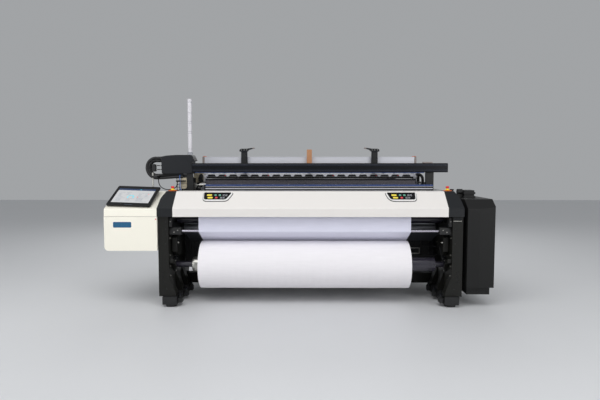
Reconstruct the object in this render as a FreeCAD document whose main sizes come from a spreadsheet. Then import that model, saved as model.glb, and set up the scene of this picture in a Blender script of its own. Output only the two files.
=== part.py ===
import FreeCAD, Part
import math
import os
import Sketcher

# A 190 cm air-jet power loom. X runs along the reed, Y to the warp side, Z up; the floor is Z = 0.
# Depths are measured back from the machine's front plane.
V = FreeCAD.Vector
doc = FreeCAD.newDocument("power_loom")
sheet = doc.addObject("Spreadsheet::Sheet", "dims")


class Size:
    """A sheet expression together with its present value in mm."""

    def __init__(self, text, value):
        self.text, self.value = text, value

    def joined(self, other, sign, value):
        return Size("(%s %s %s)" % (self.text, sign, other.text), value)

    def __add__(self, other):
        other = sized(other)
        return self.joined(other, "+", self.value + other.value)

    def __sub__(self, other):
        other = sized(other)
        return self.joined(other, "-", self.value - other.value)

    def __mul__(self, other):
        other = sized(other)
        return self.joined(other, "*", self.value * other.value)

    def __truediv__(self, other):
        other = sized(other)
        return self.joined(other, "/", self.value / other.value)

    def __radd__(self, other):
        return sized(other) + self

    def __rsub__(self, other):
        return sized(other) - self

    def __rmul__(self, other):
        return sized(other) * self

    def __neg__(self):
        return Size("(-%s)" % self.text, -self.value)


def sized(value):
    return value if isinstance(value, Size) else Size("(%.10g)" % value, float(value))


def root(value):
    return Size("sqrt(%s)" % value.text, math.sqrt(value.value))


cells = []


def dim(name, value):
    """One named cell of the sheet."""
    cells.append(name)
    sheet.set("A%d" % len(cells), "%.10g" % value)
    sheet.setAlias("A%d" % len(cells), name)
    return Size("dims." + name, float(value))


def cosine(degrees):
    return Size("cos(%s)" % degrees.text, math.cos(math.radians(degrees.value)))


def sine(degrees):
    return Size("sin(%s)" % degrees.text, math.sin(math.radians(degrees.value)))


turns = {"x": FreeCAD.Rotation(V(0, 1, 0), 90), "y": FreeCAD.Rotation(V(1, 0, 0), -90),
         "z": FreeCAD.Rotation()}
planes = {"x": "YZ_Plane", "y": "XZ_Plane", "z": "XY_Plane"}


def bind(item, path, value):
    item.setExpression(path, sized(value).text)


def place(item, x, y, z):
    for axis, value in zip("xyz", (x, y, z)):
        bind(item, ".Placement.Base." + axis, value)
    return item


def box(x0, x1, y0, y1, z0, z1):
    """A block between two corners."""
    item = doc.addObject("Part::Box", "block")
    for name, low, high in (("Length", x0, x1), ("Width", y0, y1), ("Height", z0, z1)):
        bind(item, name, sized(high) - low)
    return place(item, x0, y0, z0)


def rod(axis, x, y, z, radius, length):
    """A cylinder that starts at a point and runs along one axis."""
    item = doc.addObject("Part::Cylinder", "round")
    item.Placement = FreeCAD.Placement(V(), turns[axis])
    bind(item, "Radius", radius)
    bind(item, "Height", length)
    return place(item, x, y, z)


def cone(axis, x, y, z, radius, top, length):
    item = doc.addObject("Part::Cone", "taper")
    item.Placement = FreeCAD.Placement(V(), turns[axis])
    bind(item, "Radius1", radius)
    bind(item, "Radius2", top)
    bind(item, "Height", length)
    return place(item, x, y, z)


def tube(axis, x, y, z, radius, bore, length):
    return cut(rod(axis, x, y, z, radius, length), [rod(axis, x, y, z, bore, length)])


def prism(axis, points, start, length, rounds=(), angle=None, base=None):
    """A sketched outline padded along one axis; rounds lists (corner numbers, radius)."""
    body = doc.addObject("PartDesign::Body", "body")
    sketch = body.newObject("Sketcher::SketchObject", "outline")
    plane = [f for f in body.Origin.OriginFeatures if f.Role == planes[axis]][0]
    sketch.AttachmentSupport = [(plane, "")]
    sketch.MapMode = "FlatFace"
    pairs = [(sized(a), sized(b)) for a, b in points]
    n = len(pairs)
    for i in range(n):
        a, b = pairs[i], pairs[(i + 1) % n]
        sketch.addGeometry(Part.LineSegment(V(a[0].value, a[1].value, 0), V(b[0].value, b[1].value, 0)))
    for i in range(n):
        sketch.addConstraint(Sketcher.Constraint("Coincident", i, 2, (i + 1) % n, 1))
    for i, pair in enumerate(pairs):
        for kind, value in zip(("DistanceX", "DistanceY"), pair):
            number = sketch.addConstraint(Sketcher.Constraint(kind, -1, 1, i, 1, value.value))
            name = "p%d%s" % (i, kind[-1])
            sketch.renameConstraint(number, name)
            sketch.setExpression("Constraints." + name, value.text)
    pad = body.newObject("PartDesign::Pad", "pad")
    pad.Profile = sketch
    bind(pad, "Length", length)
    # the pad runs along +X and +Z, and along -Y, so a Y prism starts at its far end
    if base is None:
        shift = sized(start) + length if axis == "y" else sized(start)
        bind(body, ".Placement.Base." + axis, shift)
    else:
        if angle is not None:
            body.Placement = FreeCAD.Placement(V(), FreeCAD.Rotation(V(1, 0, 0), 30))
            bind(body, ".Placement.Rotation.Angle", angle)
        place(body, *base)
    for corners, radius in rounds:
        doc.recompute()
        last = body.Tip
        spots = [(pairs[i][0].value, pairs[i][1].value) for i in corners]
        names = []
        for k, edge in enumerate(last.Shape.Edges):
            if len(edge.Vertexes) != 2 or edge.Curve.TypeId != "Part::GeomLine":
                continue
            ends = []
            for vertex in edge.Vertexes:
                p = vertex.Point
                ends.append({"x": (p.y, p.z), "y": (p.x, p.z), "z": (p.x, p.y)}[axis])
            for spot in spots:
                if all(math.dist(end, spot) < 1e-4 for end in ends):
                    names.append("Edge%d" % (k + 1))
        fillet = body.newObject("PartDesign::Fillet", "rounding")
        fillet.Base = (last, names)
        bind(fillet, "Radius", radius)
    return body


def fuse(items):
    items = list(items)
    if len(items) == 1:
        return items[0]
    item = doc.addObject("Part::MultiFuse", "joined")
    item.Shapes = items
    item.Refine = True
    return item


def cut(item, tools):
    result = doc.addObject("Part::Cut", "cut")
    result.Base = item
    result.Tool = fuse(tools)
    result.Refine = True
    return result


def common(first, second):
    item = doc.addObject("Part::MultiCommon", "shared")
    item.Shapes = [first, second]
    item.Refine = True
    return item


nodes = []


def node(name, item):
    """Names a finished sub-part, fusing a list of pieces first."""
    if isinstance(item, list):
        item = fuse(item)
    item.Label = name
    nodes.append(item)


# ------------------------------------------------------------------ sizes of the whole machine
deep = dim("machineDepth", 1800)
centre = dim("loomCentre", 85)
gap = dim("frameGap", 2300)
frameThick = dim("frameThick", 84)
plate = dim("sheetThick", 3)
clear = dim("bearingClear", 0.06)
bore = dim("journalBite", 48)


def at(depth):
    """The Y of a depth behind the front plane."""
    return sized(depth) - deep / 2


leftIn, rightIn = centre - gap / 2, centre + gap / 2
leftOut, rightOut = leftIn - frameThick, rightIn + frameThick

# shaft lines, as (depth, height)
takeUp = (dim("takeUpDepth", 330), dim("takeUpHeight", 745))
roll = (dim("rollDepth", 204), dim("rollHeight", 318))
sley = (dim("sleyDepth", 520), dim("sleyHeight", 600))
warpBeam = (deep - dim("flangeRadius", 400), dim("warpBeamHeight", 480))
flangeRadius = deep - warpBeam[0]
arms = (dim("armDepth", 1340), dim("armHeight", 940))
rest = (dim("restDepth", 1470), dim("restHeight", 945))
takeUpRadius, rollRadius = dim("takeUpRadius", 75), dim("rollRadius", 200)
journal, sleyShaft = dim("journalRadius", 25), dim("sleyShaftRadius", 36)
pressRadius, nip, pressAngle = dim("pressRadius", 33), dim("nipGap", 2.2), dim("pressAngle", 205)
reach = takeUpRadius + pressRadius + nip
press = (takeUp[0] + reach * cosine(pressAngle), takeUp[1] + reach * sine(pressAngle))
span = gap + bore * 2

# ------------------------------------------------------------------ side frames
frameFront, frameTop = dim("frameFront", 18), dim("frameTop", 925)
frameRear, footHigh = dim("frameRear", 1590), dim("footHeight", 88)
crease, fairDeep = dim("creaseHeight", 809), dim("fairingDepth", 330)
lean = dim("fairingLean", 44)
stepIn = lean + 6
footDepths = (0, 214, 420, 1450)
arch, archFront = dim("archHeight", 240), dim("archFront", 770)
window = dim("windowLow", 400)


def side_frame(x, inner, sign):
    outline = [(at(frameFront), footHigh), (at(frameFront), frameTop - 135), (at(frameFront + 112), frameTop),
               (at(frameRear), frameTop), (at(frameRear), footHigh), (at(frameRear - 150), footHigh),
               (at(frameRear - 240), arch), (at(archFront), arch), (at(archFront - 80), footHigh)]
    pieces = [prism("x", outline, x, frameThick, [((2,), hipRound)])]
    upright = [(at(arms[0] - 70), frameTop - 1), (at(arms[0] - 38), arms[1] + 40),
               (at(arms[0] + 38), arms[1] + 40), (at(arms[0] + 70), frameTop - 1)]
    pieces.append(prism("x", upright, x, frameThick))
    # a web on the inner side spreads each leg's load onto its foot
    foot = x + frameThick if sign < 0 else x
    # the outer top corner is stepped back to clear the leaning fairing
    stepX = (x - 1, x + stepIn) if sign < 0 else (x + frameThick - stepIn, x + frameThick + 1)
    for depth in footDepths:
        web = [(foot, footHigh), (foot, footHigh + 165), (foot - sign * 54, footHigh + 24),
               (foot - sign * 54, footHigh)]
        pieces.append(prism("y", web, at(depth + 18), 74))
    tools = [box(x, x + frameThick, at(620), at(1180), window - 40, frameTop - 95),
             box(x, x + frameThick, at(150), at(440), window + 20, window + 215),
             box(*stepX, at(0), at(fairDeep + 5), crease - 12, frameTop + 1)]
    # running bores for every journal
    for spot, radius in ((takeUp, journal), (roll, journal), (sley, sleyShaft), (warpBeam, journal),
                         (arms, armShaft), (press, pressJournal)):
        tools.append(rod("x", x, at(spot[0]), spot[1], radius + clear, frameThick))
    return cut(fuse(pieces), tools)


armShaft, pressJournal = dim("armShaftRadius", 18), dim("pressJournalRadius", 14)
hipRound = dim("hipRound", 40)
node("left_side_frame", side_frame(leftOut, leftIn, -1))
node("right_side_frame", side_frame(rightIn, rightIn, 1))

# ------------------------------------------------------------------ feet
footWide, footLong = dim("footWidth", 118), dim("footLength", 112)
padRadius = dim("padRadius", 44)
feet = []
for side, x in (("left", leftOut + 30), ("right", rightIn - 58)):
    for depth in footDepths:
        long = footLong if depth in (0, 1450) else footLong - 20
        feet.append(box(x, x + footWide, at(depth), at(depth + long), 22, footHigh))
        feet.append(rod("z", x + footWide / 2, at(depth + long / 2), 0, padRadius, 22))
node("levelling_feet", feet)

# ------------------------------------------------------------------ beams between the frames
def hollow(x0, x1, y0, y1, z0, z1, wall):
    return cut(box(x0, x1, y0, y1, z0, z1), [box(x0, x1, y0 + wall, y1 - wall, z0 + wall, z1 - wall)])


wall = dim("beamWall", 7)
node("breast_beam", hollow(leftIn, rightIn, at(300), at(420), 838, 905, wall))
node("cross_tubes", [hollow(leftIn, rightIn, at(600), at(682), 66, 158, wall),
                     hollow(leftIn, rightIn, at(900), at(1000), 250, 350, wall)])
node("rear_cross_beam", hollow(leftIn, rightIn, at(1212), at(1290), 868, 922, wall))

# ------------------------------------------------------------------ front cover and fairings
coverWide = dim("coverWidth", 2220)
low, top = dim("coverLow", 741), dim("coverTop", 940)
slope, coverDeep = dim("slopeDepth", 142), dim("coverDepth", 270)
slant = root(slope * slope + (top - crease) * (top - crease))
coverLeft, coverRight = centre - coverWide / 2, centre + coverWide / 2
lip = dim("coverLip", 30)
inCrease = crease - plate * (slant - (top - crease)) / slope
inTop = slope + plate * (slant - slope) / (top - crease)
section = [(at(lip), low), (at(0), low), (at(0), crease), (at(slope), top), (at(coverDeep), top),
           (at(coverDeep), top - plate), (at(inTop), top - plate), (at(plate), inCrease),
           (at(plate), low + plate), (at(lip), low + plate)]
node("front_cover", prism("x", section, coverLeft, coverWide, [((2, 3), dim("creaseRound", 9))]))

outer = [(at(0), low), (at(0), crease), (at(slope), top), (at(fairDeep), top), (at(fairDeep), low)]
inner = [(at(plate), low - 1), (at(plate), inCrease), (at(inTop), top - plate),
         (at(fairDeep + 1), top - plate), (at(fairDeep + 1), low - 1)]
leanRound = dim("fairingRound", 90)
for name, edge, inside, sign in (("left_fairing", leftOut - plate, coverLeft, 1),
                                 ("right_fairing", rightOut + plate, coverRight, -1)):
    shells = []
    for skin, profileShape in ((0, outer), (plate, inner)):
        near = edge + sign * skin
        start = near if sign > 0 else inside
        face = [(near, low - 2), (near, crease), (near + sign * lean / 4, crease + (top - crease) * 0.62),
                (near + sign * lean, top + 1), (inside, top + 1), (inside, low - 2)]
        if sign < 0:
            face = face[::-1]
        shell = prism("x", profileShape, start, (inside - near) * sign)
        shells.append(common(shell, prism("y", face, at(-1), fairDeep + 2,
                                          [((2,) if sign > 0 else (3,), leanRound)])))
    node(name, cut(shells[0], shells[1:]))

# ------------------------------------------------------------------ control box, screen and badge
boxWide, boxLow, boxTop = dim("boxWidth", 428), dim("boxLow", 465), dim("boxTop", 928)
fold, foldDeep, boxSlope = dim("boxFold", 805), dim("foldDepth", 8), dim("boxSlopeDepth", 300)
boxDeep, boxRound = dim("boxDepth", 420), dim("boxRound", 32)
boxLeft = leftOut - plate - boxWide
shape = [(at(0), boxLow), (at(0), 733), (at(foldDeep), fold), (at(boxSlope), boxTop), (at(boxDeep), boxTop),
         (at(boxDeep), boxLow)]
front = [(boxLeft, boxLow), (boxLeft, boxTop + 5), (boxLeft + boxWide, boxTop + 5), (boxLeft + boxWide, boxLow)]
solid = common(prism("x", shape, boxLeft, boxWide, [((2, 3), dim("foldRound", 14))]),
               prism("y", front, at(0) - 1, boxDeep + 2, [((0,), boxRound), ((3,), dim("boxInnerRound", 10))]))
badgeX, badgeZ, badgeThick = boxLeft + 74, dim("badgeHeight", 654), dim("badgeThick", 2)
badge = [(badgeX, badgeZ), (badgeX, badgeZ + 46), (badgeX + 148, badgeZ + 46), (badgeX + 148, badgeZ)]
badgeRound = dim("badgeRound", 9)
node("badge_plate", prism("y", badge, at(0), badgeThick, [((0, 1, 2, 3), badgeRound)]))
node("control_box", cut(solid, [box(boxLeft + 8, boxLeft + boxWide - 8, at(24), at(boxDeep + 1), boxLow + 8, 780),
                                prism("y", badge, at(0) - 1, badgeThick + 1, [((0, 1, 2, 3), badgeRound)])]))

screenWide, screenLong, screenThick = dim("screenWidth", 366), dim("screenLength", 296), dim("screenThick", 14)
screenTilt, screenLow, screenFront = dim("screenTilt", 29), dim("screenLow", 833), dim("screenFront", 20)
panel = [(0, 0), (0, screenLong), (screenWide, screenLong), (screenWide, 0)]
screenX = boxLeft + 6
node("touch_screen", prism("z", panel, 0, screenThick, [((0, 1, 2, 3), dim("screenRound", 10))], screenTilt,
                           (screenX, at(screenFront) + screenThick * sine(screenTilt),
                            screenLow - screenThick * cosine(screenTilt))))


def box_slope(depth):
    return fold + (sized(depth) - foldDeep) * (boxTop - fold) / (boxSlope - foldDeep)


def screen_back(depth):
    start = screenFront + screenThick * sine(screenTilt)
    rise = sine(screenTilt) / cosine(screenTilt)
    return screenLow - screenThick * cosine(screenTilt) + (sized(depth) - start) * rise


wedge = [(at(70), box_slope(70)), (at(70), screen_back(70)), (at(250), screen_back(250)),
         (at(250), box_slope(250))]
node("screen_stand", prism("x", wedge, screenX + 90, 190))

# ------------------------------------------------------------------ drive cabinet
cabWide, cabLow, cabTop = dim("cabinetWidth", 229), dim("cabinetLow", 163), dim("cabinetTop", 879)
cabSlope, cabDeep, facet = dim("cabinetSlope", 100), dim("cabinetDepth", 640), dim("facetDepth", 16)
cabX = rightOut + dim("cabinetGap", 32)
cabEnd = cabX + cabWide
side = [(at(0), cabLow), (at(0), cabTop - 72), (at(cabSlope), cabTop), (at(cabDeep), cabTop),
        (at(cabDeep), cabLow)]
plan = [(cabX, at(0)), (cabX + 100, at(0)), (cabEnd, at(facet)), (cabEnd, at(cabDeep)), (cabX, at(cabDeep))]
cabinet = common(prism("x", side, cabX, cabWide, [((1, 2), dim("cabinetRound", 16))]),
                 prism("z", plan, cabLow - 1, cabTop - cabLow + 2, [((2,), dim("cabinetEdge", 12))]))
node("drive_cabinet", [
    cut(cabinet, [box(cabX + 8, cabEnd - 8, at(30), at(cabDeep + 1), cabLow + 8, 800)]),
    box(cabX + 8, cabEnd - 36, at(22), at(cabDeep - 20), cabLow - 57, cabLow),
    box(rightOut, cabX, at(150), at(190), 500, 640), box(rightOut, cabX, at(560), at(600), 300, 700)])
# a bellows of flat folds on the cabinet's roof, with a round cap beside it
folds = []
for i in range(4):
    inset = 7 * (i % 2)
    folds.append(box(cabX + 46 + inset, cabX + 144 - inset, at(262 + inset), at(392 - inset), cabTop + 16 * i,
                     cabTop + 16 * (i + 1)))
folds.append(box(cabX + 4, cabX + 46, at(300), at(330), cabTop, cabTop + 50))
folds.append(rod("x", cabX + 4, at(315), cabTop + 50, 24, 42))
node("exhaust_duct", folds)

# ------------------------------------------------------------------ top beam, posts, guides and board
beamFront, beamWide = dim("topBeamDepth", 430), dim("topBeamWide", 60)
beamLow, beamHigh = dim("topBeamLow", 1094), dim("topBeamHeight", 80)
beamLeft, beamRight = dim("topBeamLeft", 955), dim("topBeamRight", 1306)
profile = [(at(beamFront), beamLow), (at(beamFront), beamLow + beamHigh),
           (at(beamFront + beamWide), beamLow + beamHigh), (at(beamFront + beamWide), beamLow)]
node("top_beam", prism("x", profile, -beamLeft, beamLeft + beamRight, [((0, 1, 2, 3), dim("beamRound", 11))]))
postFront, postThick = dim("postDepth", 453), dim("postThick", 40)
postBack = at(postFront + postThick)
# each post stands on a bracket bolted to the inner face of its side frame
node("right_post", [box(1120, 1187, at(postFront), postBack, frameTop, beamLow),
                    box(1120, rightIn, at(postFront), postBack, frameTop - 45, frameTop)])
node("left_post", [box(-1037, -974, at(postFront), postBack, frameTop, 1078),
                   box(leftIn, -974, at(postFront), postBack, frameTop - 45, frameTop)])
boxOutline = [(-1224, 1078), (-1224, 1249), (-955, 1249), (-955, 1078)]
node("cable_box", prism("y", boxOutline, at(425), 160, [((1,), dim("cableBoxRound", 22)),
                                                        ((2,), dim("cableBoxSmall", 30)),
                                                        ((0, 3), dim("cableBoxFoot", 12))]))
# a ribbed conduit leaves the cable box, turns back in a half ring and ends on the left post
loopR, loopX, loopZ, loopY = dim("loopRadius", 74), -1277, 1124, at(462)
conduitR = dim("conduitRadius", 23)
ring = doc.addObject("Part::Torus", "ring")
ring.Angle3 = 180
ring.Placement.Rotation = FreeCAD.Rotation(V(0, 0, 1), V(-1, 0, 0), V(0, -1, 0), "XYZ")
bind(ring, "Radius1", loopR)
bind(ring, "Radius2", conduitR)
place(ring, loopX, loopY, loopZ)
node("conduit_loop", [rod("x", loopX, loopY, loopZ + loopR, conduitR, -1224 - loopX), ring,
                      rod("x", loopX, loopY, loopZ - loopR, conduitR, -1037 - loopX)])
cableY, cableR = at(430), dim("cableRadius", 4)
clipX, clipZ, farX, farZ = -1256, 1044, -1088, 1012
node("cable_clamps", [rod("z", -1288, at(372), boxTop, 8, 162),
                      box(-1300, clipX + 10, at(360), cableY + 10, clipZ, clipZ + 24),
                      box(farX - 10, -1016, cableY - 12, at(postFront), farZ, farZ + 14)])
route = [(clipX, clipZ), (-1256, 1008), (-1244, 974), (-1216, 950), (-1176, 939), (-1136, 943), (-1108, 956),
         (-1088, 981), (farX, farZ)]


def cord_wire(points, depth):
    """Straight runs joined by tangent arcs, each as large as its two runs allow."""
    spots = [V(x, depth, z) for x, z in points]
    edges, start, radii = [], spots[0], []
    for before, here, after in zip(spots, spots[1:], spots[2:]):
        into, out = here - before, after - here
        turn = into.getAngle(out)
        reachBack = 0.45 * min(into.Length, out.Length)
        radii.append(round(reachBack / math.tan(turn / 2)))
        into.normalize()
        out.normalize()
        first, last = here - into * reachBack, here + out * reachBack
        inside = out - into
        inside.normalize()
        radius = reachBack / math.tan(turn / 2)
        middle = here + inside * (radius / math.cos(turn / 2) - radius)
        edges += [Part.LineSegment(start, first).toShape(), Part.Arc(first, middle, last).toShape()]
        start = last
    edges.append(Part.LineSegment(start, spots[-1]).toShape())
    print("cable radii in mm:", radii)
    return Part.Wire(edges)


wire = cord_wire(route, cableY.value)
section = Part.Wire(Part.makeCircle(cableR.value, V(clipX, cableY.value, clipZ), V(0, 0, -1)))
cable = doc.addObject("Part::Feature", "cable")
cable.Shape = wire.makePipeShell([section], True, False)
print("cable length %.0f mm, volume against section times length %.4f"
      % (wire.Length, cable.Shape.Volume / (math.pi * cableR.value ** 2 * wire.Length)))
node("sensor_cable", cable)
towerX, towerR = dim("towerX", 987), dim("towerRadius", 19)
node("signal_tower", [rod("z", -towerX, at(505), 1249, 26, 8), rod("z", -towerX, at(505), 1249, 14, 60),
                      rod("z", -towerX, at(505), 1270, towerR, 449), rod("z", -towerX, at(505), 1719, towerR + 1, 26)])
board = dim("boardWidth", 47)
guideTop = dim("guideTop", 1312)
frameStart, framePitch, frameLine = dim("harnessDepth", 680), dim("harnessPitch", 22), dim("harnessThick", 12)
harnessEnd = frameStart + framePitch * 5 + frameLine
for name, sign in (("left_frame_guide", -1), ("right_frame_guide", 1)):
    x = centre + sign * 603
    inward = x - sign * 36
    pieces = [box(x - 36, x + 36, at(frameStart - 36), at(frameStart - 14), beamLow + 10, guideTop),
              box(x - 36, x + 36, at(beamFront + beamWide), at(frameStart - 30), beamLow + 10, beamLow + 60)]
    lever = [(inward, guideTop - 22), (inward, guideTop), (inward - sign * 82, guideTop - 2),
             (inward - sign * 106, guideTop - 14), (inward - sign * 92, guideTop - 26),
             (inward - sign * 30, guideTop - 26)]
    pieces.append(prism("y", lever, at(frameStart - 36), 22))
    pieces.append(box(x - 26, x + 26, at(frameStart - 36), at(harnessEnd + 20), guideTop - 18, guideTop))
    node(name, pieces)
node("centre_guide_board", [box(centre - board / 2, centre + board / 2, at(frameStart - 36), at(frameStart - 14),
                                beamLow + 10, 1302),
                            box(centre - board / 2, centre + board / 2, at(beamFront + beamWide),
                                at(frameStart - 36), beamLow + 20, beamLow + 44)])

# ------------------------------------------------------------------ cloth path
clothLeft, clothWide = dim("clothLeft", 830), dim("clothWidth", 1740)
guideR = dim("guideBarRadius", 11)
bar = (dim("guideBarDepth", 77), dim("guideBarHeight", 618))
upperBar = (dim("upperBarDepth", 84), dim("upperBarHeight", 790))
node("guide_bars", [rod("x", leftIn, at(bar[0]), bar[1], guideR, gap),
                    rod("x", leftIn, at(upperBar[0]), upperBar[1], guideR + 5, gap)])


def roller(spot, radius, x0, x1, neck):
    """A roller with a journal at each end that runs in the frame bores."""
    return fuse([rod("x", x0, at(spot[0]), spot[1], radius, sized(x1) - x0),
                 rod("x", leftIn - bore, at(spot[0]), spot[1], neck, span)])


node("take_up_roller", roller(takeUp, takeUpRadius, leftIn + 40, rightIn - 40, journal))
node("press_roller", roller(press, pressRadius, leftIn + 30, rightIn - 30, pressJournal))
coreRadius = dim("coreRadius", 59)
node("cloth_beam", roller(roll, coreRadius, -905, 1137, journal))
node("cloth_roll", tube("x", -clothLeft, at(roll[0]), roll[1], rollRadius, coreRadius, clothWide))
# the cloth falls in front of both guide bars, turns under the lower one and runs back to the roll
cloth, clothGap = dim("clothThick", 1.2), dim("clothClearance", 0.5)
across, drop = roll[0] - bar[0], bar[1] - roll[1]
apart = across * across + drop * drop
radii = guideR + rollRadius + clothGap * 2 + cloth
straight = root(apart - radii * radii)
# the straight run touches the bar from below and the roll from above: a crossed tangent
runY, runZ = (across * straight + drop * radii) / apart, (across * radii - drop * straight) / apart
upY, upZ = -runZ, runY
half = root((upY + 1) * (upY + 1) + upZ * upZ)


def web_face(offset):
    """The cloth's face that lies this far from the bars."""
    near, far = guideR + clothGap + offset, rollRadius + clothGap + cloth - offset
    return [(at(upperBar[0] - guideR - 5 - clothGap - offset), upperBar[1] + 10),
            (at(bar[0] - near), bar[1]),
            (at(bar[0] - near * (upY + 1) / half), bar[1] - near * upZ / half),
            (at(bar[0] - near * upY), bar[1] - near * upZ),
            (at(roll[0] + far * upY), roll[1] + far * upZ)]


node("cloth_web", prism("x", web_face(0) + web_face(cloth)[::-1], -clothLeft, clothWide))
# a dark tray lies just above the cloth's straight run, held to each frame by a lug
trayGap, trayThick = dim("trayGap", 3), dim("trayThick", 3)


def tray(along, above):
    """A point of the tray: a distance along the cloth's run from the bar, and one above its upper face."""
    lift = guideR + clothGap - above
    return (at(bar[0] - lift * upY + along * runY), bar[1] - lift * upZ + along * runZ)


sheetFace = [tray(26, trayGap), tray(228, trayGap), tray(228, trayGap + trayThick), tray(26, trayGap + trayThick)]
pieces = [prism("x", sheetFace, -945, 2080)]
for x0, x1 in ((leftIn, -945), (1135, rightIn)):
    lug = [tray(40, trayGap), tray(64, trayGap), tray(64, trayGap + 8), tray(40, trayGap + 8)]
    pieces.append(prism("x", lug, x0, x1 - x0))
node("cloth_guard", pieces)

# ------------------------------------------------------------------ sley, reed and relay nozzles
reedLeft, reedWide, reedLow = dim("reedLeft", 862), dim("reedWidth", 1912), dim("reedLow", 893)
reedTop, reedDeep, reedThick = dim("reedTop", 1034), dim("reedDepth", 546), dim("reedThick", 9)
sleyLow, sleyHigh = dim("sleyBeamLow", 838), dim("sleyBeamHeight", 55)
parts = [rod("x", leftIn - bore, at(sley[0]), sley[1], sleyShaft, span),
         box(-reedLeft, reedWide - reedLeft, at(515), at(575), sleyLow, sleyLow + sleyHigh)]
swords = dim("swordThick", 26)
for i in range(7):
    x = -reedLeft + 120 + (reedWide - 240) / 6 * i - swords / 2
    outline = [(at(490), sley[1] - 44), (at(515), sleyLow + 2), (at(575), sleyLow + 2), (at(570), sley[1] - 44)]
    parts.append(prism("x", outline, x, swords))
node("sley", parts)
band = dim("reedBand", 14)
node("reed", [box(-reedLeft, reedWide - reedLeft, at(reedDeep), at(reedDeep) + reedThick, reedLow, reedTop),
              box(-reedLeft, reedWide - reedLeft, at(reedDeep) - 3, at(reedDeep) + reedThick + 3, reedTop - band,
                  reedTop),
              box(-reedLeft, reedWide - reedLeft, at(reedDeep) - 3, at(reedDeep) + reedThick + 3, reedLow,
                  reedLow + band)])
jets = []
for i in range(18):
    x = -reedLeft + 104 + 98 * i
    jets.append(box(x - 8, x + 8, at(519), at(537), reedLow, reedLow + 14))
    jets.append(rod("z", x, at(530), reedLow + 14, 3, 36))
node("relay_nozzles", jets + [box(-reedLeft + 40, reedWide - reedLeft - 40, at(517), at(539), reedLow,
                                  reedLow + 6)])
node("temple_bar", [box(-850, 1175, at(426), at(452), 946, 984), box(-850, -836, at(426), at(452), 925, 946),
                    box(1161, 1175, at(426), at(452), 925, 946), box(leftIn, rightIn, at(400), at(452), 905, 925)])
node("main_nozzle", [rod("x", -935, at(516), 978, 7, 60), box(-975, -935, at(500), at(532), 958, 998),
                     box(-975, -945, at(500), at(532), 938, 959),
                     box(leftIn - 20, -945, at(500), at(532), frameTop, 939)])

# ------------------------------------------------------------------ heald frames
harnessWide, harnessTop, harnessLow = dim("harnessWidth", 1996), dim("harnessTop", 1235), dim("harnessLow", 690)
rail, lowRail, stay = dim("railHeight", 150), dim("lowRailHeight", 60), dim("stayWidth", 22)
hx = centre - harnessWide / 2
for i in range(6):
    y0, y1 = at(frameStart + framePitch * i), at(frameStart + framePitch * i + frameLine)
    frame = cut(box(hx, hx + harnessWide, y0, y1, harnessLow, harnessTop),
                [box(hx + stay, hx + harnessWide - stay, y0, y1, harnessLow + lowRail,
                     harnessTop - rail)])
    rods = [rod("z", centre + s * 620, y0 + frameLine / 2, harnessLow - 285, 5, 286) for s in (-1, 1)]
    node("heald_frame_%d" % (i + 1), [frame] + rods)
liftDeep = framePitch * 5 + frameLine
slideGap = dim("slideGap", 0.5)
channels = []
for sign, x in ((-1, leftIn), (1, rightIn)):
    x0, x1 = (leftIn, hx - slideGap) if sign < 0 else (hx + harnessWide + slideGap, rightIn)
    channels.append(box(x0, x1, at(frameStart - 8), at(frameStart - 8) + liftDeep + 16, 836, 886))
lifts = []
for s in (-1, 1):
    x = centre + s * 620
    lifts.append(cut(box(x - 60, x + 60, at(frameStart - 30), at(frameStart - 30) + liftDeep + 60, 350, 455),
                     [box(x - 10, x + 10, at(frameStart - 20), at(frameStart - 20) + liftDeep + 40, 356, 456)]))
lifts.append(box(leftIn, rightIn, at(frameStart - 46), at(frameStart - 30), 340, 420))
node("lift_box", lifts)
node("harness_guides", channels)

# ------------------------------------------------------------------ warp side
warpLeft, warpWide = dim("warpLeft", 855), dim("warpWidth", 1800)
barrel = dim("barrelRadius", 85)
node("warp_beam", [rod("x", -warpLeft, at(warpBeam[0]), warpBeam[1], barrel, warpWide),
                   rod("x", -warpLeft - 14, at(warpBeam[0]), warpBeam[1], flangeRadius, 14),
                   rod("x", warpWide - warpLeft, at(warpBeam[0]), warpBeam[1], flangeRadius, 14),
                   rod("x", leftIn - bore, at(warpBeam[0]), warpBeam[1], journal, span)])
node("warp_yarn", tube("x", -warpLeft, at(warpBeam[0]), warpBeam[1], dim("yarnRadius", 300), barrel,
                       warpWide))
armPieces = [rod("x", leftIn - bore, at(arms[0]), arms[1], armShaft, span)]
armR = dim("armBossRadius", 34)
restNeck = dim("restJournalRadius", 14)
holes = []
for x in (leftIn + 20, rightIn - 44):
    armPieces.append(rod("x", x, at(arms[0]), arms[1], armR, 24))
    armPieces.append(rod("x", x, at(rest[0]), rest[1], armR, 24))
    outline = [(at(arms[0]), arms[1] - 24), (at(arms[0]), arms[1] + 24), (at(rest[0]), rest[1] + 24),
               (at(rest[0]), rest[1] - 24)]
    armPieces.append(prism("x", outline, x, 24))
    holes.append(rod("x", x, at(rest[0]), rest[1], restNeck + clear, 24))
node("back_rest_arms", cut(fuse(armPieces), holes))
node("back_rest_roller", [rod("x", leftIn + 60, at(rest[0]), rest[1], dim("restRadius", 55), gap - 120),
                          rod("x", leftIn + 20, at(rest[0]), rest[1], restNeck, gap - 40)])
# the contact bars run above the warp, and the cheeks at their ends are bolted to the frames
dropWires = [box(leftIn, rightIn, at(1192), at(1206), 900, 922),
             box(leftIn, rightIn, at(1048), at(1062), 900, 922)]
for i in range(4):
    dropWires.append(box(leftIn, rightIn, at(1082 + 30 * i), at(1086 + 30 * i), 962, 980))
for x in (leftIn, rightIn - 20):
    dropWires.append(box(x, x + 20, at(1048), at(1206), 900, 985))
node("drop_wire_unit", dropWires)

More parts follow.
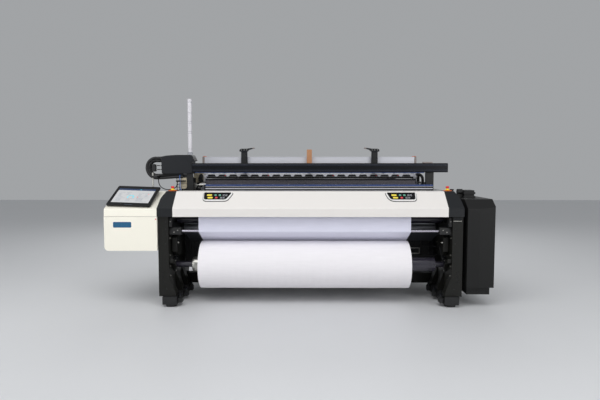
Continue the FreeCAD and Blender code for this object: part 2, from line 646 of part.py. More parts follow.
# ------------------------------------------------------------------ drives
node("main_motor", [rod("x", leftIn + 14, at(850), 490, 112, 250),
                    box(leftIn, leftIn + 14, at(720), at(980), 352, 610)])
node("harness_drive", box(rightIn - 250, rightIn, at(860), at(1180), 360, 640))
node("let_off_motor", [rod("x", leftIn, at(1210), 700, 62, 150)])

# ------------------------------------------------------------------ stop buttons and key panels
disc, travel = dim("stopDiscRadius", 38), dim("stopTravel", 4)
stem, head = dim("stopStemRadius", 7), dim("stopHeadRadius", 14)
for name, x in (("left", -1075), ("right", 1242)):
    hole = rod("z", x, at(215), top - 6, stem + clear, 40)
    node(name + "_stop_base", cut(fuse([rod("z", x, at(215), top, disc, 5),
                                        cone("z", x, at(215), top + 5, 20, 12, 18)]), [hole]))
    node(name + "_stop_button", [rod("z", x, at(215), top + 1 + travel, stem, 24),
                                 rod("z", x, at(215), top + 23 + travel, head, 14)])
pitch = (top - crease) / slope
tilt = Size("atan(%s)" % pitch.text, math.degrees(math.atan(pitch.value)))
up, long, thick = dim("panelUp", 64), dim("panelLong", 108), dim("panelThick", 10)
for name, sign, x in (("left", 1, -792), ("right", -1, 962)):
    outline = [(0, long), (sign * 240, long), (sign * 190, 0), (sign * 14, 0)]
    face = prism("z", outline, 0, thick, [((0, 1), dim(name + "PanelRound", 10)),
                                          ((2, 3), dim(name + "PanelCorner", 24))], tilt,
                 (x, at(0) + up * slope / slant, crease + up * (top - crease) / slant))
    node(name + "_key_panel", face)

# ------------------------------------------------------------------ hand-over
doc.recompute()
faults = [item.Name for item in doc.Objects if {"Invalid", "Error"} & set(item.State)]
if faults:
    raise SystemExit("objects that did not build: " + ", ".join(faults))
os.makedirs("parts", exist_ok=True)
names = set()
for item in nodes:
    if item.Shape.isNull() or not item.Shape.isValid() or item.Label in names:
        raise SystemExit("bad shape or name: " + item.Label)
    names.add(item.Label)
for item in nodes:
    item.Shape.exportStep("parts/%s.step" % item.Label)
print(len(nodes), "sub-parts written")
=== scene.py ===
import math

import bpy
import numpy as np
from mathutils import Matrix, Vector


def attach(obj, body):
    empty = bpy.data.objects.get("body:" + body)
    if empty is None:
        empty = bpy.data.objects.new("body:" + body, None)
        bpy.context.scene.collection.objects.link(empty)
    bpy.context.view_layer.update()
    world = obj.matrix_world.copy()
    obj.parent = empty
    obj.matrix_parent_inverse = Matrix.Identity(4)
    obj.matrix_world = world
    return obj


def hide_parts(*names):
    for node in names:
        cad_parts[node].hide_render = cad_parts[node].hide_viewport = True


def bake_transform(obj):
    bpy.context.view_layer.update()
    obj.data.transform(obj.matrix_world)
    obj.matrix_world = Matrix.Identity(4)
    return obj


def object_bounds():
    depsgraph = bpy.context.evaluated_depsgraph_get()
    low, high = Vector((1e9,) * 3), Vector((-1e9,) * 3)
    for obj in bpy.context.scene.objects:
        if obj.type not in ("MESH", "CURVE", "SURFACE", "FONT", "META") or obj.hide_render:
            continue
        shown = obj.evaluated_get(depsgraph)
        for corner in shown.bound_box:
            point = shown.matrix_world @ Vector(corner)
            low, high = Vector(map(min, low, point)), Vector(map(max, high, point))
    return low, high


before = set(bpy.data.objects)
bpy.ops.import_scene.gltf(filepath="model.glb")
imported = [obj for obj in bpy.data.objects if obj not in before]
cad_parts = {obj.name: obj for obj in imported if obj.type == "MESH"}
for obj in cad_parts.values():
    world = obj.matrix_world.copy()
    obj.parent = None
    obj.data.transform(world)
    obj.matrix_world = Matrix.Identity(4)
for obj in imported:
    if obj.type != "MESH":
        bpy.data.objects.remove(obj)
cadBox = [list(corner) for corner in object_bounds()]
frontY = cadBox[0][1]  # the machine's front plane


def at(x, depth, z):
    # millimetres right of centre, behind the front plane and above the floor, as a point in metres
    return np.stack(np.broadcast_arrays(np.asarray(x, float) / 1000,
        frontY + np.asarray(depth, float) / 1000, np.asarray(z, float) / 1000), -1)


def linear(hexColour):
    # sRGB hex to linear colour with alpha 1
    parts = np.array([int(hexColour[i:i + 2], 16) / 255 for i in (1, 3, 5)])
    lit = np.where(parts <= 0.04045, parts / 12.92, ((parts + 0.055) / 1.055) ** 2.4)
    return (*[float(v) for v in lit], 1.0)


# ---- camera
view = dict(x=0.026, back=4.0, height=1.150, tilt=3.89, yaw=0.34, lens=30.0)
eye = bpy.data.objects.new("camera", bpy.data.cameras.new("camera"))
bpy.context.collection.objects.link(eye)
eye.location = (view["x"], frontY - view["back"], view["height"])
eye.rotation_euler = (math.radians(90 - view["tilt"]), 0, math.radians(view["yaw"]))
eye.data.lens = view["lens"]
eye.data.sensor_width = 36
eye.data.clip_end = 60
bpy.context.scene.view_settings.view_transform = "Standard"  # true whites and blacks
bpy.context.scene.camera = eye
print("camera set")


# ---- materials
def addNode(tree, kind, links=None, values=None, **settings):
    # adds one node; links maps inputs to sockets, values maps inputs to numbers
    made = tree.nodes.new(kind)
    for name, value in settings.items():
        setattr(made, name, value)
    for name, value in (values or {}).items():
        made.inputs[name].default_value = value
    for name, socket in (links or {}).items():
        tree.links.new(socket, made.inputs[name])
    return made


def startMaterial(name, **values):
    # a new material with its Principled shader and the values of its sockets
    made = bpy.data.materials.new(name)
    made.use_nodes = True
    tree = made.node_tree
    shader = tree.nodes["Principled BSDF"]
    for key, value in values.items():
        shader.inputs[key].default_value = value
    return made, tree, shader


def shade(hexColour, factor):
    # the same colour, lighter or darker
    tone = linear(hexColour)
    return (*[min(1.0, v * factor) for v in tone[:3]], 1.0)


def finish(name, colour, rough, metal=0.0, grain=2.0, depth=0.02, drift=400.0, spread=0.08,
        roughSpread=0.08, stretch=(1, 1, 1), coat=0.0, sheen=0.0, ior=1.5):
    # a worked surface: slow drift of tone, a grain in mm that breaks gloss and dents the surface
    made, tree, shader = startMaterial(name, **{"Metallic": metal, "Coat Weight": coat,
        "Coat Roughness": 0.12, "Sheen Weight": sheen})
    if metal == 0:
        shader.inputs["IOR"].default_value = ior
    spot = addNode(tree, "ShaderNodeTexCoord").outputs["Object"]
    fine = addNode(tree, "ShaderNodeMapping", {"Vector": spot}, {"Scale": stretch}).outputs["Vector"]
    slow = addNode(tree, "ShaderNodeTexNoise", {"Vector": spot}, {"Scale": 1000 / drift, "Detail": 3.0})
    tone = addNode(tree, "ShaderNodeMix", {"Factor": slow.outputs["Fac"]},
        {"A": shade(colour, 1 - spread), "B": shade(colour, 1 + spread)}, data_type="RGBA")
    tree.links.new(tone.outputs["Result"], shader.inputs["Base Color"])
    grit = addNode(tree, "ShaderNodeTexNoise", {"Vector": fine}, {"Scale": 1000 / grain, "Detail": 2.0})
    gloss = addNode(tree, "ShaderNodeMapRange", {"Value": grit.outputs["Fac"]},
        {"From Min": 0.3, "From Max": 0.7, "To Min": max(0.02, rough - roughSpread),
        "To Max": min(1.0, rough + roughSpread)})
    tree.links.new(gloss.outputs["Result"], shader.inputs["Roughness"])
    dent = addNode(tree, "ShaderNodeBump", {"Height": grit.outputs["Fac"]},
        {"Strength": 0.35, "Distance": depth / 1000})
    tree.links.new(dent.outputs["Normal"], shader.inputs["Normal"])
    return made


def wovenCotton(name, colour, pitch=1.6, axes=(0, 2)):
    # plain-woven cotton: two crossed sets of thread bumps; the pitch is coarser than real so that it shows
    made, tree, shader = startMaterial(name, **{"Roughness": 0.86, "Sheen Weight": 0.25,
        "Sheen Roughness": 0.4})
    spot = addNode(tree, "ShaderNodeTexCoord").outputs["Object"]
    parts = addNode(tree, "ShaderNodeSeparateXYZ", {"Vector": spot}).outputs
    waves = []
    for axis in axes:
        turn = addNode(tree, "ShaderNodeMath", {0: parts[axis]}, {1: 2 * math.pi * 1000 / pitch},
            operation="MULTIPLY")
        waves.append(addNode(tree, "ShaderNodeMath", {0: turn.outputs[0]}, operation="SINE").outputs[0])
    woven = addNode(tree, "ShaderNodeMath", {0: waves[0], 1: waves[1]}, operation="MULTIPLY")
    slub = addNode(tree, "ShaderNodeMapping", {"Vector": spot}, {"Scale": (0.6, 6.0, 6.0)})
    streak = addNode(tree, "ShaderNodeTexNoise", {"Vector": slub.outputs["Vector"]},
        {"Scale": 14.0, "Detail": 5.0})
    both = addNode(tree, "ShaderNodeMath", {0: woven.outputs[0], 1: streak.outputs["Fac"]}, operation="ADD")
    dent = addNode(tree, "ShaderNodeBump", {"Height": both.outputs[0]},
        {"Strength": 0.25, "Distance": 0.0003})
    tree.links.new(dent.outputs["Normal"], shader.inputs["Normal"])
    tone = addNode(tree, "ShaderNodeMix", {"Factor": streak.outputs["Fac"]},
        {"A": shade(colour, 0.95), "B": shade(colour, 1.03)}, data_type="RGBA")
    tree.links.new(tone.outputs["Result"], shader.inputs["Base Color"])
    return made


def beechGrain(name, light, dark):
    # oiled beech: long growth lines along Z, a line about every 6 mm, with short pores
    made, tree, shader = startMaterial(name, **{"Roughness": 0.5, "Coat Weight": 0.1})
    spot = addNode(tree, "ShaderNodeTexCoord").outputs["Object"]
    long = addNode(tree, "ShaderNodeMapping", {"Vector": spot}, {"Scale": (160.0, 160.0, 9.0)})
    lines = addNode(tree, "ShaderNodeTexNoise", {"Vector": long.outputs["Vector"]},
        {"Scale": 1.0, "Detail": 6.0, "Distortion": 0.4})
    tone = addNode(tree, "ShaderNodeMix", {"Factor": lines.outputs["Fac"]},
        {"A": linear(light), "B": linear(dark)}, data_type="RGBA")
    tree.links.new(tone.outputs["Result"], shader.inputs["Base Color"])
    dent = addNode(tree, "ShaderNodeBump", {"Height": lines.outputs["Fac"]},
        {"Strength": 0.3, "Distance": 0.0003})
    tree.links.new(dent.outputs["Normal"], shader.inputs["Normal"])
    return made


def windings(name, colour, pitch=3.0):
    # warp yarn wound side by side: thread ridges along X, tone drifting from section to section
    made, tree, shader = startMaterial(name, **{"Roughness": 0.8, "Sheen Weight": 0.3})
    spot = addNode(tree, "ShaderNodeTexCoord").outputs["Object"]
    parts = addNode(tree, "ShaderNodeSeparateXYZ", {"Vector": spot}).outputs
    turn = addNode(tree, "ShaderNodeMath", {0: parts[0]}, {1: 2 * math.pi * 1000 / pitch},
        operation="MULTIPLY")
    ridge = addNode(tree, "ShaderNodeMath", {0: turn.outputs[0]}, operation="SINE")
    band = addNode(tree, "ShaderNodeMapping", {"Vector": spot}, {"Scale": (40.0, 1.0, 1.0)})
    drift = addNode(tree, "ShaderNodeTexNoise", {"Vector": band.outputs["Vector"]},
        {"Scale": 1.0, "Detail": 4.0})
    tone = addNode(tree, "ShaderNodeMix", {"Factor": drift.outputs["Fac"]},
        {"A": shade(colour, 0.9), "B": shade(colour, 1.05)}, data_type="RGBA")
    tree.links.new(tone.outputs["Result"], shader.inputs["Base Color"])
    dent = addNode(tree, "ShaderNodeBump", {"Height": ridge.outputs[0]},
        {"Strength": 0.5, "Distance": 0.0006})
    tree.links.new(dent.outputs["Normal"], shader.inputs["Normal"])
    return made


mats = {
    # satin polyester enamel on sheet steel: bright, with a soft wide highlight
    "coverEnamel": finish("satinWhiteEnamel", "#E9E5E1", 0.36, grain=1.2, depth=0.01, spread=0.015,
        coat=0.15),
    # warm cream enamel, a little flatter than the white
    "creamEnamel": finish("creamEnamel", "#FBF7E9", 0.42, grain=1.2, depth=0.01, spread=0.02, coat=0.08),
    # moulded ABS, charcoal with a fine spark-eroded grain
    "fairingAbs": finish("charcoalAbs", "#1A1C1F", 0.42, grain=1.5, depth=0.03, spread=0.08, ior=1.38),
    # olive-black enamel over cast iron: faint orange peel and a slow drift of tone
    "legEnamel": finish("oliveBlackEnamel", "#171714", 0.4, grain=3.5, depth=0.05, spread=0.14, ior=1.36),
    # structured black powder coat: rough pebbled skin that scatters the light
    "powderCoat": finish("structuredPowderCoat", "#161616", 0.55, grain=2.2, depth=0.12, spread=0.1,
        ior=1.36),
    # extruded aluminium, painted blue-black and glossy, so its long edges catch the light
    "beamEnamel": finish("blueBlackEnamel", "#07090F", 0.32, grain=4.0, depth=0.001, spread=0.06, ior=1.36),
    # the extrusion's ridges, painted a paler blue as the highlight along their edges
    "ridgeHighlightEnamel": finish("paintedHighlightBlueEnamel", "#3B4356", 0.3, grain=4.0, depth=0.02, spread=0.12,
        coat=0.2),
    "boxEnamel": finish("charcoalEnamel", "#1D1F23", 0.42, grain=1.8, depth=0.03, spread=0.1, ior=1.38),
    "blackRubber": finish("nitrileRubber", "#131314", 0.62, grain=2.5, depth=0.06, spread=0.15),
    "blackNylon": finish("blackNylon", "#141416", 0.48, grain=1.2, depth=0.03, spread=0.12),
    "blackGloss": finish("blackGlossAbs", "#08080A", 0.2, grain=6.0, depth=0.004, spread=0.06,
        roughSpread=0.03, ior=1.4),
    "castIron": finish("greyIronPainted", "#141516", 0.5, grain=4.0, depth=0.15, spread=0.18),
    "darkSteel": finish("blackedSteel", "#24252A", 0.34, metal=0.7, grain=2.0, spread=0.2, stretch=(0.05,
        1, 1)),
    # ground steel bar: fine scratches round the bar, bright
    "groundSteel": finish("groundSteel", "#C9C6D2", 0.24, metal=1.0, grain=0.8, spread=0.08, stretch=(1,
        0.1, 0.1)),
    "zincSteel": finish("zincPlatedSteel", "#B9B8B2", 0.32, metal=1.0, grain=3.0, spread=0.15),
    # clear-anodised aluminium: pale, soft, drawn along X
    "anodised": finish("anodisedAluminium", "#DCDDE4", 0.42, metal=0.3, grain=1.0, spread=0.05,
        stretch=(0.03, 1, 1)),
    "rolled": finish("rolledAluminium", "#AEB0B6", 0.4, metal=0.9, grain=1.5, spread=0.1, stretch=(0.05,
        1, 1)),
    "tubeEnamel": finish("violetBlackEnamel", "#2E2C36", 0.2, grain=3.0, depth=0.02, spread=0.15, coat=0.4),
    "blueStrip": finish("blueAnodised", "#3E5690", 0.35, metal=0.6, grain=1.2, spread=0.06, stretch=(0.04,
        1, 1)),
    "towerAcrylic": finish("frostedAcrylic", "#D9D7DC", 0.3, grain=2.0, depth=0.01, spread=0.04, coat=0.2),
    "beigePanel": finish("beigeEnamel", "#B9AF96", 0.5, grain=2.0, depth=0.03, spread=0.1),
    "taupeCap": finish("taupeNylon", "#8C8380", 0.5, grain=1.4, depth=0.03, spread=0.08),
    "tealBadge": finish("tealAcrylic", "#1D5E84", 0.22, grain=5.0, depth=0.004, spread=0.03, coat=0.4),
    "stopRed": finish("redAbs", "#E0202A", 0.25, grain=3.0, depth=0.004, spread=0.05, coat=0.3),
    "stopYellow": finish("yellowAbs", "#F8D32C", 0.32, grain=3.0, depth=0.004, spread=0.05),
    "stopOrange": finish("orangeAbs", "#C4581C", 0.34, grain=3.0, depth=0.004, spread=0.08),
    "keyYellow": finish("yellowFoil", "#F0DA4E", 0.4, grain=2.0, depth=0.004, spread=0.02),
    "keyGreen": finish("greenFoil", "#5FA088", 0.4, grain=2.0, depth=0.004, spread=0.02),
    "keyRed": finish("redFoil", "#D8444A", 0.4, grain=2.0, depth=0.004, spread=0.02),
    "keyGrey": finish("greyFoil", "#A9ABB0", 0.42, grain=2.0, depth=0.004, spread=0.02),
    "bezelWhite": finish("whiteNylon", "#E9E8E6", 0.38, grain=2.0, depth=0.01, spread=0.02),
    "blueCable": finish("bluePvc", "#2C5FB0", 0.4, grain=2.0, depth=0.01, spread=0.05),
    "beech": beechGrain("oiledBeech", "#C9966F", "#A9744E"),
    "cottonRoll": wovenCotton("wovenCottonRoll", "#F2EFF2"),
    "cottonWeb": wovenCotton("wovenCottonWeb", "#E3E3F3"),
    # rolled steel strip, thin and flat: bright only at a glancing angle
    "healdSteel": finish("rolledSteelStrip", "#8E8F98", 0.42, metal=0.8, grain=1.0, spread=0.12,
        stretch=(1, 1, 0.1)),
    "reedWire": finish("reedWireSteel", "#96939A", 0.46, metal=0.5, grain=1.0, spread=0.16, stretch=(1, 1,
        0.1)),
    "warpThread": finish("sizedCottonThread", "#E9E6DF", 0.8, grain=0.8, depth=0.1, spread=0.06, sheen=0.2),
    "warpYarn": windings("warpYarnWound", "#E8E4DC"),
}


def glowing(name, colour, strength, rough=0.3):
    # a lit display area behind glass
    return startMaterial(name, **{"Base Color": linear(colour), "Roughness": rough,
        "Emission Color": linear(colour), "Emission Strength": strength})[0]


mats["screenPale"] = glowing("displayPale", "#C2C2C3", 0.2)
mats["screenBar"] = glowing("displayBar", "#1E3559", 0.3)
mats["screenCyan"] = glowing("displayCyan", "#37C9DA", 0.5)
mats["screenRed"] = glowing("displayRed", "#D8505A", 0.5)
mats["screenLine"] = glowing("displayLine", "#8A95A1", 0.12)
mats["screenInk"] = glowing("displayInk", "#3F4B5A", 0.1)


# ---- mesh makers
def mesh(name, points, faces, material, body="machine", smooth=False):
    # a mesh from arrays of points and quads or triangles, riding on one body
    made = bpy.data.meshes.new(name)
    made.from_pydata(np.asarray(points, float).reshape(-1, 3).tolist(), [],
        [list(map(int, f)) for f in faces])
    made.validate()
    made.update()
    piece = bpy.data.objects.new(name, made)
    bpy.context.collection.objects.link(piece)
    made.materials.append(mats[material])
    made.polygons.foreach_set("use_smooth", np.full(len(made.polygons), smooth))
    if body:
        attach(piece, body)
    return piece


def gridFaces(rows, columns, closeRows=False, closeColumns=False):
    # quads between neighbouring points of a grid
    r = np.arange(rows if closeRows else rows - 1)
    c = np.arange(columns if closeColumns else columns - 1)
    a, b = np.meshgrid(r, c, indexing="ij")
    a, b = a.ravel(), b.ravel()
    a2, b2 = (a + 1) % rows, (b + 1) % columns
    return np.stack([a * columns + b, a2 * columns + b, a2 * columns + b2, a * columns + b2], 1)


def lathe(profile, centre, axis=2, steps=40):
    # a profile of (radius, height) turned about a line along one axis; its ends are closed by fans
    profile = np.asarray(profile, float)
    turn = np.linspace(0, 2 * math.pi, steps, endpoint=False)
    ring = np.stack([np.cos(turn), np.sin(turn)], 1)
    points = np.zeros((len(profile), steps, 3))
    others = [(1, 2), (2, 0), (0, 1)][axis]
    points[..., others[0]] = profile[:, :1] * ring[:, 0] / 1000
    points[..., others[1]] = profile[:, :1] * ring[:, 1] / 1000
    points[..., axis] = profile[:, 1:] / 1000
    points = points + centre
    faces = [list(f) for f in gridFaces(len(profile), steps, closeColumns=True)[:, ::-1]]
    faces.append(list(range(steps))[::-1])
    faces.append([(len(profile) - 1) * steps + i for i in range(steps)])
    return points.reshape(-1, 3), faces


def gather(name, parts, material, bevel=0.0, body="machine", smooth=False):
    # joins several (points, faces) parts into one mesh
    points, faces, start = [], [], 0
    for somePoints, someFaces in parts:
        points.append(np.asarray(somePoints, float).reshape(-1, 3))
        faces += [[int(i) + start for i in f] for f in someFaces]
        start += len(points[-1])
    piece = mesh(name, np.concatenate(points), faces, material, body, smooth)
    if smooth:
        creased(piece)
    if bevel:
        edge = piece.modifiers.new("edge", "BEVEL")
        edge.width, edge.segments, edge.limit_method = bevel / 1000, 2, "ANGLE"
        edge.harden_normals = True
        piece.data.polygons.foreach_set("use_smooth", np.full(len(piece.data.polygons), True))
    return piece


def creased(piece, degrees=38):
    # smooth faces with sharp edges where the surface turns by more than this
    data = piece.data
    data.polygons.foreach_set("use_smooth", np.full(len(data.polygons), True))
    data.set_sharp_from_angle(angle=math.radians(degrees))


boxFaces = np.array([[0, 3, 2, 1], [4, 5, 6, 7], [0, 1, 5, 4], [2, 3, 7, 6], [1, 2, 6, 5], [3, 0, 4, 7]])


def block(low, high):
    # one box between two corners
    x0, y0, z0 = np.minimum(low, high)
    x1, y1, z1 = np.maximum(low, high)
    points = [(x0, y0, z0), (x1, y0, z0), (x1, y1, z0), (x0, y1, z0), (x0, y0, z1), (x1, y0, z1),
        (x1, y1, z1), (x0, y1, z1)]
    return np.array(points), boxFaces


def blocks(lows, highs):
    # many boxes at once, from two arrays of corners
    lows, highs = np.asarray(lows, float), np.asarray(highs, float)
    pick = np.array([[0, 0, 0], [1, 0, 0], [1, 1, 0], [0, 1, 0], [0, 0, 1], [1, 0, 1], [1, 1, 1],
        [0, 1, 1]])
    points = lows[:, None] + pick[None] * (highs - lows)[:, None]
    faces = (boxFaces[None] + 8 * np.arange(len(lows))[:, None, None]).reshape(-1, 4)
    return points.reshape(-1, 3), faces


def pipe(path, radius, steps=16):
    # a tube of one radius, or one radius for each point, carried along a path of points
    path = np.asarray(path, float)
    along = np.gradient(path, axis=0)
    along /= np.linalg.norm(along, axis=1)[:, None]
    guide = np.array([0, 0, 1.0]) if abs(along[:, 2]).max() < 0.9 else np.array([0, 1.0, 0])
    if abs(along @ guide).max() > 0.98:
        guide = np.array([1.0, 0.2, 0.1])
    side = np.cross(along, guide)
    side /= np.linalg.norm(side, axis=1)[:, None]
    rise = np.cross(side, along)
    turn = np.linspace(0, 2 * math.pi, steps, endpoint=False)
    size = np.broadcast_to(np.asarray(radius, float), len(path))[:, None, None]
    points = path[:, None] + size * (side[:, None] * np.cos(turn)[None, :, None]
        + rise[:, None] * np.sin(turn)[None, :, None])
    faces = [list(f) for f in gridFaces(len(path), steps, closeColumns=True)]
    faces.append(list(range(steps)))
    faces.append([(len(path) - 1) * steps + i for i in range(steps)][::-1])
    return points.reshape(-1, 3), faces


def curveThrough(points, count=40):
    # a smooth line through given points: Catmull-Rom between neighbours
    p = np.asarray(points, float)
    p = np.concatenate([[2 * p[0] - p[1]], p, [2 * p[-1] - p[-2]]])
    t = np.linspace(0, len(points) - 1 - 1e-9, count)
    i = t.astype(int)
    u = (t - i)[:, None]
    a, b, c, d = p[i], p[i + 1], p[i + 2], p[i + 3]
    return 0.5 * (2 * b + (c - a) * u + (2 * a - 5 * b + 4 * c - d) * u ** 2
        + (3 * b - a - 3 * c + d) * u ** 3)


def plate(outline, spot, low, high):
    # a flat outline given thickness: spot(u, v, h) puts its points at two heights, and both ends are closed
    outline = np.asarray(outline, float)
    n = len(outline)
    u, v = outline[:, 0], outline[:, 1]
    if (u * np.roll(v, -1) - np.roll(u, -1) * v).sum() < 0:
        u, v = u[::-1], v[::-1]
    points = np.concatenate([spot(u, v, np.full(n, float(h))) for h in (low, high)])
    faces = [[i, (i + 1) % n, n + (i + 1) % n, n + i] for i in range(n)]
    return points, faces + [list(range(n))[::-1], list(range(n, 2 * n))]


def profileRun(outline, x0, x1):
    # an outline of (depth, height) carried along X
    return plate(outline, lambda u, v, h: at(h, u, v), x0, x1)


def sideRun(outline, face, sign, near, far):
    # an outline of (depth, height) carried between two distances from a face that looks along sign
    return profileRun(outline, *sorted((face + sign * near, face + sign * far)))


def slab(outline, front, back):
    # an outline of (x, height) carried from one depth to another
    return plate(outline, lambda u, v, h: at(u, -h, v), -back, -front)


def tilted(x, depth, z, degrees):
    # a sloping face: u runs along X, v up the slope, h out of the face
    c, s = math.cos(math.radians(degrees)), math.sin(math.radians(degrees))
    return lambda u, v, h: at(x + u, depth + v * c - h * s, z + v * s + h * c)


def rounded(corners, radii, steps=6):
    # an outline whose corners are turned on arcs of the given radii
    corners = np.asarray(corners, float)
    runs = []
    for i, radius in enumerate(np.broadcast_to(radii, len(corners))):
        here = corners[i]
        a, b = corners[i - 1] - here, corners[(i + 1) % len(corners)] - here
        a, b = a / np.linalg.norm(a), b / np.linalg.norm(b)
        if radius <= 0:
            runs.append(here[None])
            continue
        half = math.acos(np.clip(a @ b, -1, 1)) / 2
        middle = here + (a + b) / np.linalg.norm(a + b) * radius / math.sin(half)
        start, end = here + a * radius / math.tan(half) - middle, here + b * radius / math.tan(half) - middle
        sweep = math.pi - 2 * half
        t = np.linspace(0, 1, steps + 1)[:, None]
        runs.append(middle + (np.sin((1 - t) * sweep) * start + np.sin(t * sweep) * end) / math.sin(sweep))
    return np.concatenate(runs)


def rect(u0, v0, u1, v1, radius=0.0, steps=5):
    # a rectangle with rounded corners
    return rounded([(u0, v0), (u1, v0), (u1, v1), (u0, v1)], radius, steps)


def disc(u, v, radius, steps=24):
    turn = np.linspace(0, 2 * math.pi, steps, endpoint=False)
    return np.stack([u + radius * np.cos(turn), v + radius * np.sin(turn)], 1)


def wheelRun(wheels, steps=14):
    # a line pulled round wheels of (depth, height, radius, side), with side 1 where the wheel is left of it
    centres = np.array([w[:2] for w in wheels], float)
    reach = np.array([w[2] * w[3] for w in wheels], float)
    gap = np.diff(centres, axis=0)
    lean = np.diff(reach)
    length = np.sqrt((gap ** 2).sum(1) - lean ** 2)
    heading = np.arctan2(gap[:, 1], gap[:, 0]) - np.arctan2(lean, length)
    runs = []
    for i, (depth, z, radius, side) in enumerate(wheels):
        first = heading[max(i - 1, 0)]
        last = heading[min(i, len(heading) - 1)]
        turn = (last - first) % (2 * math.pi) if side > 0 else -((first - last) % (2 * math.pi))
        if abs(turn) > 2 * math.pi - 1e-6:
            turn = 0.0
        count = steps if radius > 0 and abs(turn) > 1e-3 else 1
        angle = first + turn * np.linspace(0, 1, count) if count > 1 else np.array([first])
        angle = angle - side * math.pi / 2
        runs.append(np.stack([depth + radius * np.cos(angle), z + radius * np.sin(angle)], 1))
    return np.concatenate(runs)


def turned(profile, sign, centre, axis, steps):
    # a lathe whose heights run along the axis or against it, with its faces outward either way
    points, faces = lathe([(r, sign * h) for r, h in profile], centre, axis, steps)
    return points, faces if sign > 0 else [list(f)[::-1] for f in faces]


def boltHead(centre, axis, sign, radius=6.5, height=4.0):
    # a cap screw's head: a short turned knob with a chamfer and a hollow
    return turned([(radius * 0.9, 0), (radius, 0.6), (radius, height - 0.8), (radius * 0.86, height),
        (radius * 0.5, height), (radius * 0.45, height - 1.6), (0.01, height - 1.6)], sign, centre, axis,
        14)


def heads(xs, depths, zs, axis, sign, radius, height):
    # screw heads at every x, depth and height given
    return [boltHead(at(x, d, z), axis, sign, radius, height) for x in xs for d in depths for z in zs]


def strands(name, xs, line, rise, corner, outward, start, end):
    # threads side by side: at each x a small triangle runs along one line of (depth, height) points
    k, x = len(line), xs[:, None, None]
    points = at(x + corner[:, 0], line[:, 0, None] + rise[:, :1] * corner[:, 1] + 0 * x,
        line[:, 1, None] + rise[:, 1:] * corner[:, 1] + 0 * x)
    quads = gridFaces(k, 3, closeColumns=True)
    tips = np.array([[0, 1, 2], [3 * k - 3, 3 * k - 1, 3 * k - 2]])
    if not outward:
        quads, tips = quads[:, ::-1], tips[:, ::-1]
    shift = 3 * k * np.arange(len(xs))[:, None, None]
    faces = (quads + shift).reshape(-1, 4).tolist() + (tips + shift).reshape(-1, 3).tolist()
    drawn = mesh(name, points, faces, "warpThread", body=None)
    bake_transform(drawn)


# ---- finishes of the CAD pieces that stay in view
nodeFinish = {"left_side_frame": "legEnamel", "right_side_frame": "legEnamel", "cross_tubes": "legEnamel",
    "breast_beam": "legEnamel", "rear_cross_beam": "legEnamel", "left_post": "castIron",
    "right_post": "castIron", "levelling_feet": "castIron", "front_cover": "coverEnamel",
    "left_fairing": "fairingAbs", "right_fairing": "fairingAbs", "control_box": "creamEnamel",
    "badge_plate": "tealBadge", "screen_stand": "boxEnamel", "drive_cabinet": "powderCoat",
    "exhaust_duct": "blackRubber", "top_beam": "beamEnamel", "signal_tower": "towerAcrylic",
    "centre_guide_board": "beech", "guide_bars": "groundSteel", "take_up_roller": "blackRubber",
    "press_roller": "tubeEnamel", "cloth_beam": "tubeEnamel", "cloth_guard": "boxEnamel", "sley": "rolled",
    "reed": "darkSteel", "relay_nozzles": "zincSteel", "main_nozzle": "zincSteel",
    "temple_bar": "darkSteel", "harness_guides": "blackNylon", "lift_box": "castIron",
    "harness_drive": "castIron", "warp_beam": "rolled", "warp_yarn": "warpYarn",
    "back_rest_arms": "castIron", "back_rest_roller": "groundSteel", "drop_wire_unit": "rolled",
    "main_motor": "boxEnamel", "let_off_motor": "boxEnamel",}
for i in range(6):
    nodeFinish["heald_frame_%d" % (i + 1)] = "anodised"
for name, material in nodeFinish.items():
    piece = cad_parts[name]
    if not piece.material_slots:
        piece.data.materials.append(mats[material])
    for slotHere in piece.material_slots:
        slotHere.material = mats[material]
print("finishes on", len(nodeFinish), "CAD pieces")

# ---- sensor cable: a hanging lead between its two clamps
cableRoute = [(-1256, 1044), (-1256, 1008), (-1244, 974), (-1216, 950), (-1176, 939), (-1136, 943),
    (-1108, 956), (-1088, 981), (-1088, 1012)]
line = bpy.data.curves.new("sensorCable", "CURVE")
line.dimensions = "3D"
spline = line.splines.new("NURBS")
spline.points.add(len(cableRoute) - 1)
for point, (x, z) in zip(spline.points, cableRoute):
    point.co = (*at(x, 430, z), 1)
spline.order_u = 3
spline.use_endpoint_u = True
line.bevel_depth = 0.004
line.bevel_resolution = 4
line.resolution_u = 12
line.use_fill_caps = True
line.materials.append(mats["blackRubber"])
cable = bpy.data.objects.new("sensorCable", line)
bpy.context.collection.objects.link(cable)
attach(cable, "machine")
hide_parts("sensor_cable")
tuple(at(-1256, 430, 1044))
print("cable hung")

# ---- touch screen: black glass with a lit picture of plain marks
screen = dict(left=-1574, front=20, low=833, tilt=29, inset=27, bottom=38, top=46, header=24, turn=3.6,
    up=14)
flatGlass = tilted(screen["left"], screen["front"], screen["low"], screen["tilt"])


def glass(u, v, h):
    # the screen's plane, turned slightly about its lower left corner
    c, s = math.cos(math.radians(screen["turn"])), math.sin(math.radians(screen["turn"]))
    return flatGlass(u * c + v * s, screen["up"] + v * c - u * s, h)


